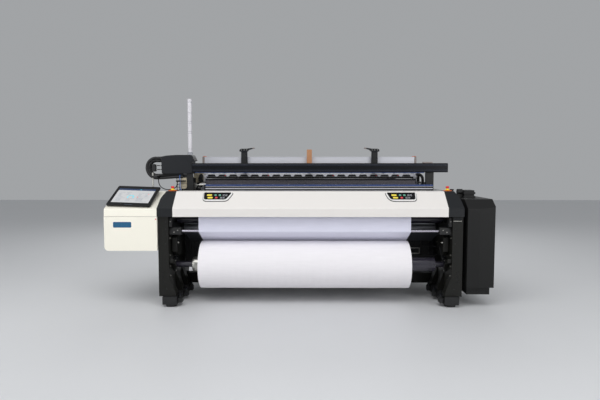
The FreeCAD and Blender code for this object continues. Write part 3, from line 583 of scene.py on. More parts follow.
housing = gather("screenHousing", [plate(rect(0, 0, 366, 294, 12, 8), glass, -14, 0)], "blackGloss",
    2.5)
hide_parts("touch_screen")
u0, u1 = screen["inset"], 366 - screen["inset"]
v0, v1 = screen["bottom"], 294 - screen["top"]
gather("screenField", [plate(rect(u0, v0, u1, v1), glass, 0.1, 0.5)], "screenPale")
gather("screenHeader", [plate(rect(u0, v1 - screen["header"], u1, v1), glass, 0.2, 0.7)], "screenBar")
marks = [plate(rect(u0 + 12 + 30 * i, v1 - 16, u0 + 30 + 30 * i, v1 - 9), glass, 0.4, 0.9)
    for i in (0, 7, 8, 9)]
frames = []
for left, low, wide, high in ((18, 16, 78, 50), (18, 84, 52, 64), (104, 20, 66, 40), (186, 16, 104, 58),
        (186, 92, 48, 52), (242, 92, 48, 52), (84, 118, 40, 30)):
    a, b = u0 + left, v0 + low
    frames += [plate(rect(a, edge, a + wide, edge + 1.6), glass, 0.4, 0.8) for edge in (b, b + high)]
    frames += [plate(rect(a + 6, b + 10 + k, a + wide * 0.6, b + 12.5 + k), glass, 0.4, 0.8)
        for k in range(0, high - 16, 12)]
gather("screenMarks", marks, "screenInk")
gather("screenLines", frames, "screenLine")
# a gauge: an open ring of short bars
ring = []
for k in range(9):
    angle = math.radians(-30 + 30 * k)
    c, s = math.cos(angle), math.sin(angle)
    bar = np.array([(20, -4), (29, -4), (29, 4), (20, 4)]) @ np.array([[c, s], [-s, c]]) + (u0 + 137,
        v0 + 84)
    ring.append(plate(bar, glass, 0.4, 0.9))
ring.append(plate(disc(u0 + 188, v1 - 12, 5), glass, 0.5, 1.0))
gather("screenGauge", ring, "screenCyan")
gather("screenDots", [plate(disc(u0 + 196, v0 + 84, 5), glass, 0.4, 0.9),
    plate(disc(u0 + 274, v0 + 132, 3.5), glass, 0.4, 0.9)], "screenRed")
gather("screenButton", [plate(rect(150, 8, 216, 12, 2), glass, -0.1, 0.5)], "screenInk")
print("screen drawn")

# ---- key panels: a white moulded bezel round a black foil with raised keys, over a dark rim that paints the bezel's shadow
keys = dict(up=64, foil=9.6, rise=1.6, pitch=42.69)
for side, leftX, outline, corners, inset, shadowOutset in (("left", -796,
        [(0, 110), (8, 15), (202, 15), (250, 110)], (12, 30, 44, 14),
        [(7, -2), (5, 13), (-9, 13), (-14, -2)], [(-3, 1), (-3, -4), (3, -4), (4, 1)]),
        ("right", 702, [(256, 110), (0, 110), (30, 15), (248, 15)], (14, 14, 62, 34),
        [(-9, -2), (12, -2), (8, 13), (-8, 13)], [(3, 1), (-4, 1), (-3, -4), (3, -4)])):
    run = keys["up"] / math.hypot(142, 131)
    face = tilted(leftX, 142 * run, 809 + 131 * run, keys["pitch"])
    shell = rounded(outline, corners, 8)
    # a dark rim just outside the bezel: its painted shadow
    gather(side + "KeyShadowRim", [plate(rounded(np.array(outline) + shadowOutset, corners, 8), face, -0.5, 2.6)],
        "blackRubber")
    inner = rounded(np.array(outline) + inset, (8, 18, 30, 8) if side == "left" else (8, 8, 30, 18), 8)
    body = gather(side + "KeyBezel", [plate(shell, face, 0, 8.5)], "bezelWhite", 2.2)
    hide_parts(side + "_key_panel")
    gather(side + "KeyFoil", [plate(inner, face, 8, keys["foil"])], "blackGloss", 0.5)
    shift = 3 if side == "left" else 19
    rows = {"keyYellow": [(30, 67, 42, 18), (39, 38, 42, 18)], "keyGreen": [(91, 67, 20, 18),
        (126, 67, 20, 18)], "keyRed": [(101, 38, 20, 18)]}
    for colour, spots in rows.items():
        caps = [plate(rect(a + shift, b, a + wide + shift, b + high, high * 0.42, 6), face, 9,
            keys["foil"] + keys["rise"]) for a, b, wide, high in spots]
        gather(side + colour[0].upper() + colour[1:], caps, colour, 0.7)
    dashes = [plate(rect(a + shift, b + k, a + wide + shift, b + k + 3, 1.4, 3), face, 9,
        keys["foil"] + 0.7) for a, b, wide in ((160, 67, 18), (182, 67, 16), (141, 38, 18), (163, 38, 16))
        for k in (0, 7, 14)]
    gather(side + "KeyMarks", dashes, "keyGrey")
print("key panels fitted")

# ---- stop buttons: orange base plate, yellow waisted neck, red mushroom head
stop = dict(depth=215, low=940)
for side, x in (("left", -1075), ("right", 1242)):
    foot = at(x, stop["depth"], stop["low"])
    base = gather(side + "StopPlate", [lathe([(7.6, 0.1), (37, 0.1), (38, 0.8), (38, 3.6), (35, 6.4),
        (26, 8.4), (21, 8.6), (20.4, 7.8), (7.6, 7.8)], foot, 2, 56)], "stopOrange",
        smooth=True)
    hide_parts(side + "_stop_base")
    gather(side + "StopNeck", [lathe([(7.6, 5), (20, 5), (20, 9.4), (17.4, 11), (14.4, 13.4), (13, 16),
        (12.8, 19.4), (12, 20.6), (7.6, 20.6)], foot, 2, 48)], "stopYellow", smooth=True)
    cap = gather(side + "StopHead", [lathe([(0.2, 25), (12.8, 25), (14, 26), (14.2, 28), (14.2, 34),
        (13.6, 37), (12, 39.4), (9, 40.6), (5, 41), (0.2, 41)], foot, 2, 48),
        lathe([(0.2, 11), (6.8, 11), (6.8, 25.4), (0.2, 25.4)], foot, 2, 24)], "stopRed",
        body=side + "_button", smooth=True)
    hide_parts(side + "_stop_button")
print("stops fitted")

# ---- cloth: one sheet from the weaving line over the breast beam, rollers and guide bars to the roll
cloth = dict(left=-830, wide=1740, thick=0.9, clear=0.6, columns=96)
lift = cloth["clear"]
wheels = [(462, 936, 0, 1), (430, 935.5, 0, 1), (312, 899, 7 + lift, 1), (330, 745, 75 + lift, 1),
    (230.13, 698.43, 33 + lift, -1), (84, 790, 16 + lift, 1), (77, 618, 11 + lift, 1),
    (204, 318, 200 + lift + cloth["thick"], -1)]
path = wheelRun(wheels)
along = np.concatenate([[0], np.cumsum(np.linalg.norm(np.diff(path, axis=0), axis=1))])
steps = np.linspace(0, along[-1], 220)
fine = np.stack([np.interp(steps, along, path[:, 0]), np.interp(steps, along, path[:, 1])], 1)
fine[[0, -1]] = path[[0, -1]]
heading = np.gradient(fine, axis=0)
heading /= np.linalg.norm(heading, axis=1)[:, None]
outward = np.stack([heading[:, 1], -heading[:, 0]], 1)
x = np.linspace(cloth["left"], cloth["left"] + cloth["wide"], cloth["columns"])
# selvedges draw in by a few millimetres between the rollers
pull = 1 - 0.0022 * np.sin(math.pi * steps / steps[-1]) ** 2
across = 40 + (x[None] - 40) * pull[:, None]
faces = []
for offset in (0.0, cloth["thick"]):
    faces.append(at(across, (fine[:, :1] + outward[:, :1] * offset),
        (fine[:, 1:] + outward[:, 1:] * offset)))
rows, columns = faces[0].shape[:2]
quads = gridFaces(rows, columns)
under, over = quads, quads[:, ::-1] + rows * columns
edge = np.concatenate([np.arange(columns), (np.arange(1, rows) + 1) * columns - 1,
    rows * columns - 2 - np.arange(columns - 1), (rows - 2 - np.arange(rows - 2)) * columns])
nextEdge = np.roll(edge, -1)
rim = np.stack([edge, edge + rows * columns, nextEdge + rows * columns, nextEdge], 1)
web = mesh("clothSheet", np.concatenate([faces[0].reshape(-1, 3), faces[1].reshape(-1, 3)]),
    np.concatenate([under, over, rim]), "cottonWeb", smooth=True)
creased(web, 50)
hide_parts("cloth_web")

# ---- cloth roll: wound package with a faintly uneven skin and layered ends
package = dict(centre=(204, 318), radius=200, core=59.3, columns=150, steps=128, ends=26)
turn = np.linspace(0, 2 * math.pi, package["steps"], endpoint=False)
xs = np.linspace(-830, 910, package["columns"])
swell = (0.35 * np.sin(xs / 71) + 0.25 * np.sin(xs / 23.7 + 1) + 0.2 * np.sin(xs / 9.1)) - 0.9
edgeFall = -1.1 * np.exp(-np.minimum(xs + 830, 910 - xs) / 6)
radius = package["radius"] + (swell + edgeFall)[:, None] + 0.25 * np.sin(3 * turn + xs[:, None] / 300)
skin = at(xs[:, None] + 0 * radius, package["centre"][0] + radius * np.cos(turn),
    package["centre"][1] + radius * np.sin(turn))
points, skinFaces = [skin.reshape(-1, 3)], [gridFaces(package["columns"], package["steps"],
    closeColumns=True)]
start = package["columns"] * package["steps"]
rings = np.linspace(0, 1, package["ends"])
wander = 0.9 * np.sin(rings * 61) + 0.7 * np.sin(rings * 23 + 1) + 0.6 * np.sin(rings * 140)
for x0, outer, sign in ((-830, radius[0], 1), (910, radius[-1], -1)):
    size = package["core"] + (outer[None] - package["core"]) * rings[:, None]
    depthIn = sign * (1.7 + wander) * np.minimum(1, 14 * (1 - rings))
    points.append(at((x0 + depthIn)[:, None] + 0 * size, package["centre"][0] + size * np.cos(turn),
        package["centre"][1] + size * np.sin(turn)).reshape(-1, 3))
    side = gridFaces(package["ends"], package["steps"], closeColumns=True) + start
    skinFaces.append(side if sign > 0 else side[:, ::-1])
    start += package["ends"] * package["steps"]
n = package["steps"]
ends = np.arange(n)
innerLeft = package["columns"] * n + ends
innerRight = innerLeft + package["ends"] * n
follow = np.roll(ends, -1)
skinFaces.append(np.stack([innerLeft, innerLeft - ends + follow, innerRight - ends + follow, innerRight],
    1))
rollPiece = mesh("clothPackage", np.concatenate(points), np.concatenate(skinFaces), "cottonRoll",
    body="cloth_winder", smooth=True)
creased(rollPiece, 40)
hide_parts("cloth_roll")
print("cloth wound")

# ---- cable clamps: a bright rod, a black clip and a small tab
rodPiece = gather("clampRod", [lathe([(0.2, 928), (8, 928), (8, 1087), (6.5, 1090), (0.2, 1090)],
    at(-1288, 372, 0), 2, 24)], "zincSteel", smooth=True)
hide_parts("cable_clamps")
gather("clampClip", [profileRun(rect(360, 1046, 440, 1066, 6), -1300, -1246),
    profileRun(rect(416, 1012, 453, 1024, 3), -1098, -1016)], "blackNylon", 2)

# ---- cable box: a domed shell that runs over into the conduits, with a chamfered end and a lip
shell = dict(front=425, back=585, edge=9)
outline = rounded([(-1226, 1080), (-1229, 1233), (-1180, 1243), (-1090, 1249), (-975, 1249), (-957, 1240),
    (-957, 1080)], [16, 6, 60, 0, 10, 10, 14], 8)
box = gather("cableBoxShell", [slab(outline, shell["front"], shell["back"])], "boxEnamel",
    shell["edge"])
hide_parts("cable_box")
facet = rounded([(-990, 1182), (-990, 1249), (-955, 1247), (-932, 1196)], [2, 6, 8, 3])
gather("cableBoxLip", [slab(facet, 423, 560)], "boxEnamel", 3)
gather("cableBoxScrews", heads((-1206, -972), (425,), (1098, 1170), 1, -1, 4.5, 2.2), "blackNylon",
    smooth=True)
gather("cableBoxLamp", [lathe([(0.2, 0), (4, 0), (4, 1.6), (3, 2.6), (0.2, 2.8)], at(-968, 425, 1192), 1,
    16)], "bezelWhite", smooth=True)

# ---- conduits: tubes that leave the box, turn back and enter the post, ribbed by a sine along the tube
conduit = dict(pitch=7.5, depth=1.3, radius=13.5, centre=(-1277, 1132))
cx, cz = conduit["centre"]
tubes = []
for depth, reach, thick in ((449, 84, 1.0), (476, 83, 1.0), (463, 60, 1.0), (448, 69, 0.5),
        (440, 62, 0.42)):
    turn = np.linspace(math.pi / 2, 1.5 * math.pi, 60)
    bend = np.stack([cx + reach * np.cos(turn), cz + reach * 1.06 * np.sin(turn)], 1)
    upper = np.stack([np.linspace(-1216, cx, 12), np.full(12, bend[0, 1])], 1)[:-1]
    lower = np.stack([np.linspace(cx, -1040, 30), bend[-1, 1] + 6 - 6 * np.cos(np.linspace(0, math.pi,
        30))], 1)[1:]
    route = np.concatenate([upper, bend, lower])
    run = np.concatenate([[0], np.cumsum(np.linalg.norm(np.diff(route, axis=0), axis=1))])
    count = int(run[-1] / conduit["pitch"] * 4)
    fineRun = np.linspace(0, run[-1], count)
    sway = 3 * np.sin(fineRun / 60 + depth)
    points = at(np.interp(fineRun, run, route[:, 0]), depth + sway, np.interp(fineRun, run, route[:, 1]))
    ribs = 0.5 - 0.5 * np.cos(2 * math.pi * fineRun / conduit["pitch"])
    size = conduit["radius"] * thick - conduit["depth"] * ribs
    tubes.append(pipe(points, size / 1000, 14))
bundle = gather("conduitBundle", tubes, "blackNylon", smooth=True)
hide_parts("conduit_loop")
glands = [lathe([(17, 0), (20, 0), (20, 8), (17, 10)], at(-1234, depth, 1212), 0, 8)
    for depth in (449, 476)]
gather("conduitGlands", glands, "blackNylon")
gather("loopBars", [plate(rect(-1290, z - 4, -1224, z + 4, 3), lambda u, v, h: at(u, 470 - h, v), 0, 14)
    for z in (1119, 1154)], "castIron", 1)
gather("loopBlock", [slab(rect(-1318, 1100, -1284, 1168, 9), 442, 482)], "blackNylon", 4)
gather("loopScrews", heads((-1276, -1244), (456,), (1119, 1154), 1, -1, 4, 2.5), "zincSteel",
    smooth=True)
print("cable box and conduits built")

# ---- top beam: T-slots, end cap, top cover strip and the small plate over the right post
grooves, ridgeHighlights = [], []
for z in (1160, 1110):
    grooves.append(profileRun([(429.2, z - 2.6), (429.2, z + 2.6), (431, z + 2.6), (431, z - 2.6)], -953,
        1304))
# paler ridges beside the slots: painted highlights along their edges
for z in (1164.5, 1155.5, 1114.5, 1105.5):
    ridgeHighlights.append(profileRun([(428.6, z - 0.8), (428.6, z + 0.8), (430.4, z + 0.8), (430.4, z - 0.8)], -953,
        1304))
gather("beamSlots", grooves, "blackGloss")
gather("beamRidgeHighlights", ridgeHighlights, "ridgeHighlightEnamel")
gather("beamCover", [profileRun(rect(436, 1173, 484, 1175.5, 1), -948, 1300)], "beamEnamel")
# a blue strip under the beam's front: painted highlight along its lower edge
gather("beamLowerEdgeHighlight", [profileRun(rect(444, 1088.5, 476, 1094.5, 1), -935, 1100)], "blueStrip")
gather("beamEndCap", [plate(rect(431, 1095, 489, 1173, 10), lambda u, v, h: at(1305 + h, u, v), 0, 1)],
    "blackNylon", 0.4)
gather("beamTopPlate", [profileRun(rect(438, 1174, 482, 1187, 3), 1090, 1172)], "taupeCap",
    1)
gather("beamClips", [profileRun(rect(427, 1128, 431, 1142, 1.2), x, x + 34)
    for x in (-640, -210, 350, 900)], "beamEnamel", 0.8)

# ---- heald frames: rail mouldings, end caps, heald bars, steel healds with eyes, and the warp through them
shaft = dict(first=680, pitch=22, left=-913, wide=1996, eye=943, eyeHalf=9)
# two threads lie in each gap between the reed's dents, so they pass them freely
gapXs = -858 + 2.75 + 4.0 * np.arange(8, 440)
threadXs = np.stack([gapXs - 0.62, gapXs + 0.62], 1).reshape(-1)
for i in range(6):
    front = shaft["first"] + shaft["pitch"] * i
    body = "harness_%d" % (i + 1)
    right = shaft["left"] + shaft["wide"]
    lines = [profileRun([(front - 1.2, z), (front - 1.2, z + wide), (front + 0.4, z + wide),
        (front + 0.4, z)], shaft["left"] + 30, right - 30) for z, wide in ((1229, 6), (1196, 2.4),
        (1168, 2.4), (1124, 2.4), (1086, 5), (746, 4), (692, 4))]
    gather("railMoulding%d" % (i + 1), lines, "anodised", body=body)
    caps = [profileRun(rect(front - 1.6, z0, front + 13.2, z1, 1.5, 2), x0, x1)
        for x0, x1 in ((shaft["left"], shaft["left"] + 20), (right - 20, right))
        for z0, z1 in ((1082, 1237), (688, 752))]
    gather("railCaps%d" % (i + 1), caps, "taupeCap", body=body)
    studs = [lathe([(0.2, 0), (6, 0), (6, 4), (4, 6), (0.2, 6)], at(x, front + 6, 1236.5), 2, 14)
        for x in (shaft["left"] + 12, right - 12)]
    gather("railStuds%d" % (i + 1), studs, "stopOrange", body=body, smooth=True)
    xs = threadXs[i::6]
    middle = front + 6
    bars = [profileRun(rect(middle - 1.2, z - 5, middle + 1.2, z + 5, 1, 2), shaft["left"] + 24, right - 24)
        for z in (1062, 778)]
    gather("healdBars%d" % (i + 1), bars, "rolled", body=body)
    low, high = shaft["eye"] - shaft["eyeHalf"], shaft["eye"] + shaft["eyeHalf"]
    lows = [at(xs - 0.9, middle - 2.6, 772), at(xs - 0.9, middle - 2.6, high),
        at(xs - 2.4, middle - 1.0, low), at(xs + 1.6, middle - 1.0, low)]
    highs = [at(xs + 0.9, middle + 2.6, low), at(xs + 0.9, middle + 2.6, 1069),
        at(xs - 1.6, middle + 1.0, high), at(xs + 2.4, middle + 1.0, high)]
    points, faces = blocks(np.concatenate(lows), np.concatenate(highs))
    mesh("healds%d" % (i + 1), points, faces, "healdSteel", body)
    hookXs = np.arange(shaft["left"] + 90, right - 60, 101)
    hooks = [slab([(x - 9, 1086), (x - 5, 1056), (x + 5, 1056), (x + 9, 1086)], front + 1, front + 4)
        for x in hookXs]
    gather("railHooks%d" % (i + 1), hooks, "anodised", body=body)
    # the run from the weaving line to the eyes, and the run from the eyes to the drop wires
    for label, far, level in (("Front", 463, 938), ("Rear", 1060, 948)):
        line = np.stack([np.linspace(far, middle, 6), np.linspace(level, shaft["eye"], 6)], 1)
        strands("warp%s%d" % (label, i + 1), xs, line, np.tile([0.0, 1.0], (6, 1)),
            np.array([(0, 0.55), (0.56, -0.35), (-0.56, -0.35)]), label == "Front",
            at(0, far, 940), at(0, middle, 940))
print("heald frames strung")

# ---- front shaft's open heald bar, with dark plates in its windows for the painted shade seen through them, as it shows under the beam
strip = dict(first=-870, last=1020, pitch=101)
# dark trapezoids on the rail's face: painted shade in its open windows
windowShade = []
for x in np.arange(strip["first"], strip["last"], strip["pitch"]):
    windowShade.append(slab(rounded([(x, 1053), (x + 14, 1071), (x + 70, 1071), (x + 84, 1053)], 2, 2), 675.2,
        677))
gather("hookRail", [profileRun(rect(676, 1049, 679, 1080, 1, 2), -890, 1060)], "anodised",
    body="harness_1")
gather("hookSkirt", [profileRun(rect(672, 1034, 677, 1052, 2, 2), -886, 1056)], "castIron",
    body="harness_1")
gather("hookWindowShade", windowShade, "castIron", body="harness_1")
gather("hookMarks", [slab(disc(x + 60, 1062, 4, 12), 674.6, 677) for x in (-760, -357, 248, 650, 853)],
    "stopRed", body="harness_1")

# ---- reed: flat steel dents in the band, drawn several times as far apart as real so that they show
reed = dict(left=-858, right=1046, pitch=4.0, wide=1.5, front=541.4, back=559.6, low=907, high=1020)
xs = np.arange(reed["left"], reed["right"], reed["pitch"])
points, faces = blocks(at(xs, reed["front"], reed["low"]), at(xs + reed["wide"], reed["back"],
    reed["high"]))
mesh("reedDents", points, faces, "reedWire", body="sley_swing")
gather("reedBandTrim", [profileRun(rect(538.6, 1022, 541.5, 1032, 1, 2), -860, 1048),
    profileRun(rect(538.6, 895, 541.5, 905, 1, 2), -860, 1048)], "darkSteel",
    body="sley_swing")
print("reed dented")

# ---- warp side: threads over the drop wires and the back rest, down to the beam
warp = dict(count=360, left=-826, right=906, rest=(1470, 945), restRadius=55.8)
run = wheelRun([(1060, 948, 0, -1), (1204, 952, 0, -1), (*warp["rest"], warp["restRadius"], -1),
    (1400, 480, 301, -1)], 12)
slope = np.gradient(run, axis=0)
slope /= np.linalg.norm(slope, axis=1)[:, None]
up = np.stack([-slope[:, 1], slope[:, 0]], 1)
xs = np.linspace(warp["left"], warp["right"], warp["count"])
corner = np.array([(0, 0.6), (0.7, -0.35), (-0.7, -0.35)])
# the threads are cut where they leave the rest roller; both parts follow the arms there
onRest = np.linalg.norm(run - warp["rest"], axis=1) < warp["restRadius"] + 0.2
cut = int(np.nonzero(onRest)[0][-1]) + 1
strands("warpOver", xs, run[:cut], up[:cut], corner, False, at(0, 1210, 950),
    at(0, 1420, 998))
strands("warpDown", xs, run[cut - 1:], up[cut - 1:], corner, False,
    at(0, *run[-1]), at(0, *run[cut - 1]))
drops = []
for row in range(4):
    xs = np.linspace(-822 + row * 3.6, 900 + row * 3.6, 120)
    drops.append((at(xs - 0.4, 1080 + 30 * row, 925), at(xs + 0.4, 1088 + 30 * row, 1000)))
points, faces = blocks(np.concatenate([d[0] for d in drops]), np.concatenate([d[1] for d in drops]))
mesh("dropWires", points, faces, "healdSteel")
print("warp drawn in")

# ---- temple bar: blue anodised rail, bright bead, dark channel and a pale lower rail
temple = dict(front=426, left=-838, right=1174)
rails = {"templeBlue": ("blueStrip", 973.5, 985.2, 424.4), "templeBead": ("anodised", 968.6, 971.8, 424.8),
    "templeLower": ("anodised", 946.6, 955.6, 424.2), "templeChannel": ("blackGloss", 958, 966, 425.4)}
for name, (finishName, low, high, front) in rails.items():
    gather(name, [profileRun(rect(front, low, 427, high, 1, 3), temple["left"], temple["right"])],
        finishName)
gather("templeTop", [profileRun(rect(427, 983.6, 452, 985.4, 0.6, 2), temple["left"], temple["right"])],
    "blueStrip")
gather("breastCover", [profileRun(rect(394, 938.4, 425, 945.6, 2, 3), -845, 1172)], "castIron")
rings = []
for x0, sign in ((-826, 1), (908, -1)):
    for k in range(9):
        c = at(x0 + sign * 7 * k, 439, 939)
        rings.append(lathe([(3, -2.4), (6.2, -2.4), (6.8, 0), (6.2, 2.4), (3, 2.4)], c, 0, 14))
gather("templeRings", rings, "zincSteel")
gather("templeScrews", heads(np.arange(-800, 1170, 140), (439,), (985.2,), 2, 1, 5, 3), "zincSteel",
    smooth=True)

# ---- frame guides: a panelled post, a clamped head and a rising lever with a brown grip
guide = dict(wide=62, front=644, back=666, low=1104, neck=1288)
for side, x, sign in (("left", -518, 1), ("right", 688, -1)):
    half = guide["wide"] / 2
    post = [slab([(x - half, guide["low"]), (x - half + 3, guide["neck"]), (x + half - 3, guide["neck"]),
        (x + half, guide["low"])], guide["front"], guide["back"]),
        profileRun(rect(490, 1104, 650, 1150, 2), x - 36, x + 36)]
    piece = gather(side + "GuidePost", post, "boxEnamel", 1.5)
    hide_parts(side + "_frame_guide")
    panel = [slab(rounded([(x - 20, 1120), (x - 19, 1272), (x + 19, 1272), (x + 20, 1120)], 5, 4), 642.4,
        645)]
    panel += [slab(rect(x - 12, z, x + 12, z + 34, 3, 3), 640.6, 643) for z in (1136, 1216)]
    gather(side + "GuidePanel", panel, "castIron", 0.6)
    head = rounded([(x - sign * 42, 1282), (x - sign * 44, 1298), (x - sign * 30, 1309),
        (x + sign * 22, 1309), (x + sign * 40, 1302), (x + sign * 34, 1284)][::sign], 4, 4)
    lever = rounded([(x + sign * 18, 1290), (x + sign * 8, 1308), (x + sign * 62, 1316),
        (x + sign * 92, 1320), (x + sign * 94, 1312), (x + sign * 58, 1302)][::sign], 3, 4)
    gather(side + "GuideHead", [slab(head, 636, 672), slab(lever, 642, 664),
        profileRun(rect(664, 1294, 824, 1311, 3), x - 24, x + 24)], "boxEnamel", 2)
    grip = rounded([(x + sign * 78, 1306), (x + sign * 76, 1320), (x + sign * 96, 1322),
        (x + sign * 99, 1311)][::sign], 3, 4)
    gather(side + "GuideGrip", [slab(grip, 640, 666)], "taupeCap", 1.5)
    gather(side + "GuideScrews", heads((x - 24, x + 24, x), (636,), (1298,), 1, -1, 4.5, 3)
        + heads((x - 24, x + 24), (644,), (1112,), 1, -1, 4.5, 3), "zincSteel",
        smooth=True)
gather("boardBolts", heads((85,), (644,), (1122, 1160), 1, -1, 5, 3), "zincSteel",
    smooth=True)
print("guides built")

# ---- left end, between the cable box and the reed: brackets, plates, valve, blue air line and nozzle feed
bracket = [slab(rect(-1098, 932, -1089, 1040, 2), 436, 442), slab(rect(-1074, 932, -1065, 1040, 2), 436,
    442)]
bracket += [slab(rect(-1098, z, -1065, z + 9, 1.5), 436, 442) for z in (932, 957, 982, 1007, 1031)]
gather("sideBracket", bracket, "zincSteel", 0.8)
gather("leftPlateFront", [slab(rounded([(-1062, 948), (-1062, 1046), (-1008, 1046), (-1008, 962),
    (-1020, 948)], [2, 2, 2, 6, 2]), 446, 451)], "beigePanel", 1)
gather("leftPlateRear", [slab(rounded([(-980, 990), (-980, 1094), (-892, 1094), (-892, 1004), (-912, 990)],
    [3, 3, 3, 8, 3]), 604, 610)], "beigePanel", 1)
gather("plateRibs", [slab(rect(-1060, z, -1012, z + 3), 444.6, 446.4) for z in (964, 992, 1018)]
    + [slab(rect(-976, z, -900, z + 3), 602.4, 604.4) for z in (1010, 1066)], "taupeCap")
gather("plateScrews", heads((-1056, -1014), (446,), (956, 1038), 1, -1, 3.6, 2.4)
    + heads((-972, -902), (604,), (1000, 1086), 1, -1, 4, 2.6), "zincSteel", smooth=True)
airLine = curveThrough([at(-1066, 446, 1078), at(-1068, 436, 1050), at(-1064, 431, 1010),
    at(-1066, 432, 970), at(-1061, 440, 936), at(-1050, 452, 926)], 36)
gather("airLine", [pipe(airLine, 0.0036, 10)], "blueCable", smooth=True)
lever = rounded([(-926, 1000), (-938, 1036), (-922, 1072), (-904, 1082), (-890, 1060), (-896, 1030),
    (-886, 1002)], [6, 12, 10, 8, 8, 8, 5], 5)
gather("reliefLever", [slab(lever, 586, 602), lathe([(0.2, 0), (11, 0), (12, 3), (12, 12), (9, 15),
    (0.2, 15)], at(-910, 571, 1050), 1, 24)], "blackNylon", 2)
gather("nozzlePointer", [slab(rounded([(-900, 985), (-906, 991), (-852, 994), (-838, 990), (-850, 984)], 2,
    3), 462, 474)], "bezelWhite", 1)
gather("nozzleFeed", [pipe(curveThrough([at(-1050, 470, 934), at(-1020, 480, 960), at(-985, 500, 974),
    at(-975, 508, 978)], 24), 0.007, 14)], "blackRubber", smooth=True)
gather("nozzleBody", [lathe([(4, 0), (11, 0), (12, 2), (12, 14), (9, 16), (9, 30), (11, 31), (11, 38),
    (6, 40), (5, 58), (3.4, 66)], at(-972, 516, 978), 0, 28), lathe([(3, 0), (8, 0), (8, 9), (5, 12),
    (5, 26), (3, 28)], at(-1012, 470, 948), 0, 20), lathe([(3, 0), (7, 0), (7, 18), (4, 22)],
    at(-1036, 462, 939), 2, 18)], "zincSteel", smooth=True)
gather("postCover", [slab(rect(-1006, 926, -950, 1092, 5), 440, 452)], "castIron", 2)
blocksLeft = [((-1062, 466, 925), (-1018, 500, 958)), ((-1005, 540, 925), (-950, 590, 972)),
    ((-945, 536, 925), (-905, 580, 950)), ((-1058, 520, 925), (-1020, 570, 990)),
    ((-1012, 600, 925), (-960, 640, 1040)), ((-955, 596, 925), (-925, 632, 1000))]
gather("valveBlocks", [block(at(*low), at(*high)) for low, high in blocksLeft], "blackNylon",
    3)
gather("valveCaps", [lathe([(0.2, 0), (9, 0), (9, 8), (6, 11), (0.2, 11)], at(x, d, z), 2, 18)
    for x, d, z in ((-1040, 482, 958), (-978, 566, 972), (-926, 556, 950), (-986, 620, 1040))], "zincSteel",
    smooth=True)

# ---- right end: suction hose, stretch nozzle and fittings beside the reed
hose = curveThrough([at(1064, 590, 1072), at(1096, 588, 1070), at(1117, 584, 1046), at(1120, 578, 1006),
    at(1112, 572, 972), at(1104, 566, 930)], 90)
run = np.arange(90)
gather("suctionHose", [pipe(hose, (13 + 0.9 * np.sin(run * 2.1)) / 1000, 14)], "blackNylon",
    smooth=True)
blocksRight = [((1072, 540, 925), (1096, 600, 1010)), ((1104, 528, 925), (1150, 560, 948)),
    ((1150, 520, 925), (1172, 552, 962)), ((1078, 612, 925), (1100, 640, 1086))]
gather("rightBlocks", [block(at(*low), at(*high)) for low, high in blocksRight], "castIron",
    2.5)
gather("rightFittings", [lathe([(2, 0), (8, 0), (8, 8), (5.5, 10), (5.5, 20), (8, 22), (8, 28), (2, 30)],
    at(x, d, z), axis, 18) for x, d, z, axis in ((1090, 530, 952, 0), (1126, 524, 946, 2),
    (1140, 522, 958, 0), (1084, 534, 990, 1))], "zincSteel", smooth=True)
sidePosts = [profileRun(rect(640, 925, 668, 1090, 3), x, x + 20) for x in (-893, 1060)]
gather("framePosts", sidePosts, "anodised", 1.5)
gather("framePostBolts", heads((-883, 1070), (640,), (1000, 1040, 1075), 1, -1, 4, 3), "darkSteel",
    smooth=True)
print("reed ends dressed")

# ---- drive guards that close the view behind the roll's ends, with ribs and bolts
guard = dict(depth=584, thick=4)
for side, outline in (("left", [(-1064, 236), (-1064, 738), (-846, 738), (-846, 330), (-905, 262)]),
        ("right", [(1234, 236), (1234, 738), (922, 738), (922, 330), (1010, 262)])):
    gather(side + "DriveGuard", [slab(rounded(outline, 8, 4), guard["depth"],
        guard["depth"] + guard["thick"])], "castIron", 1)
    low, high = min(p[0] for p in outline), max(p[0] for p in outline)
    ribs = [slab(rect(x, 340, x + 7, 724, 2), guard["depth"] - 12, guard["depth"])
        for x in np.linspace(low + 50, high - 50, 4)]
    gather(side + "GuardRibs", ribs, "castIron", 1)
    gather(side + "GuardBolts", heads((low + 22, high - 22), (guard["depth"],), (360, 470, 600, 715), 1, -1,
        6, 4), "darkSteel", smooth=True)

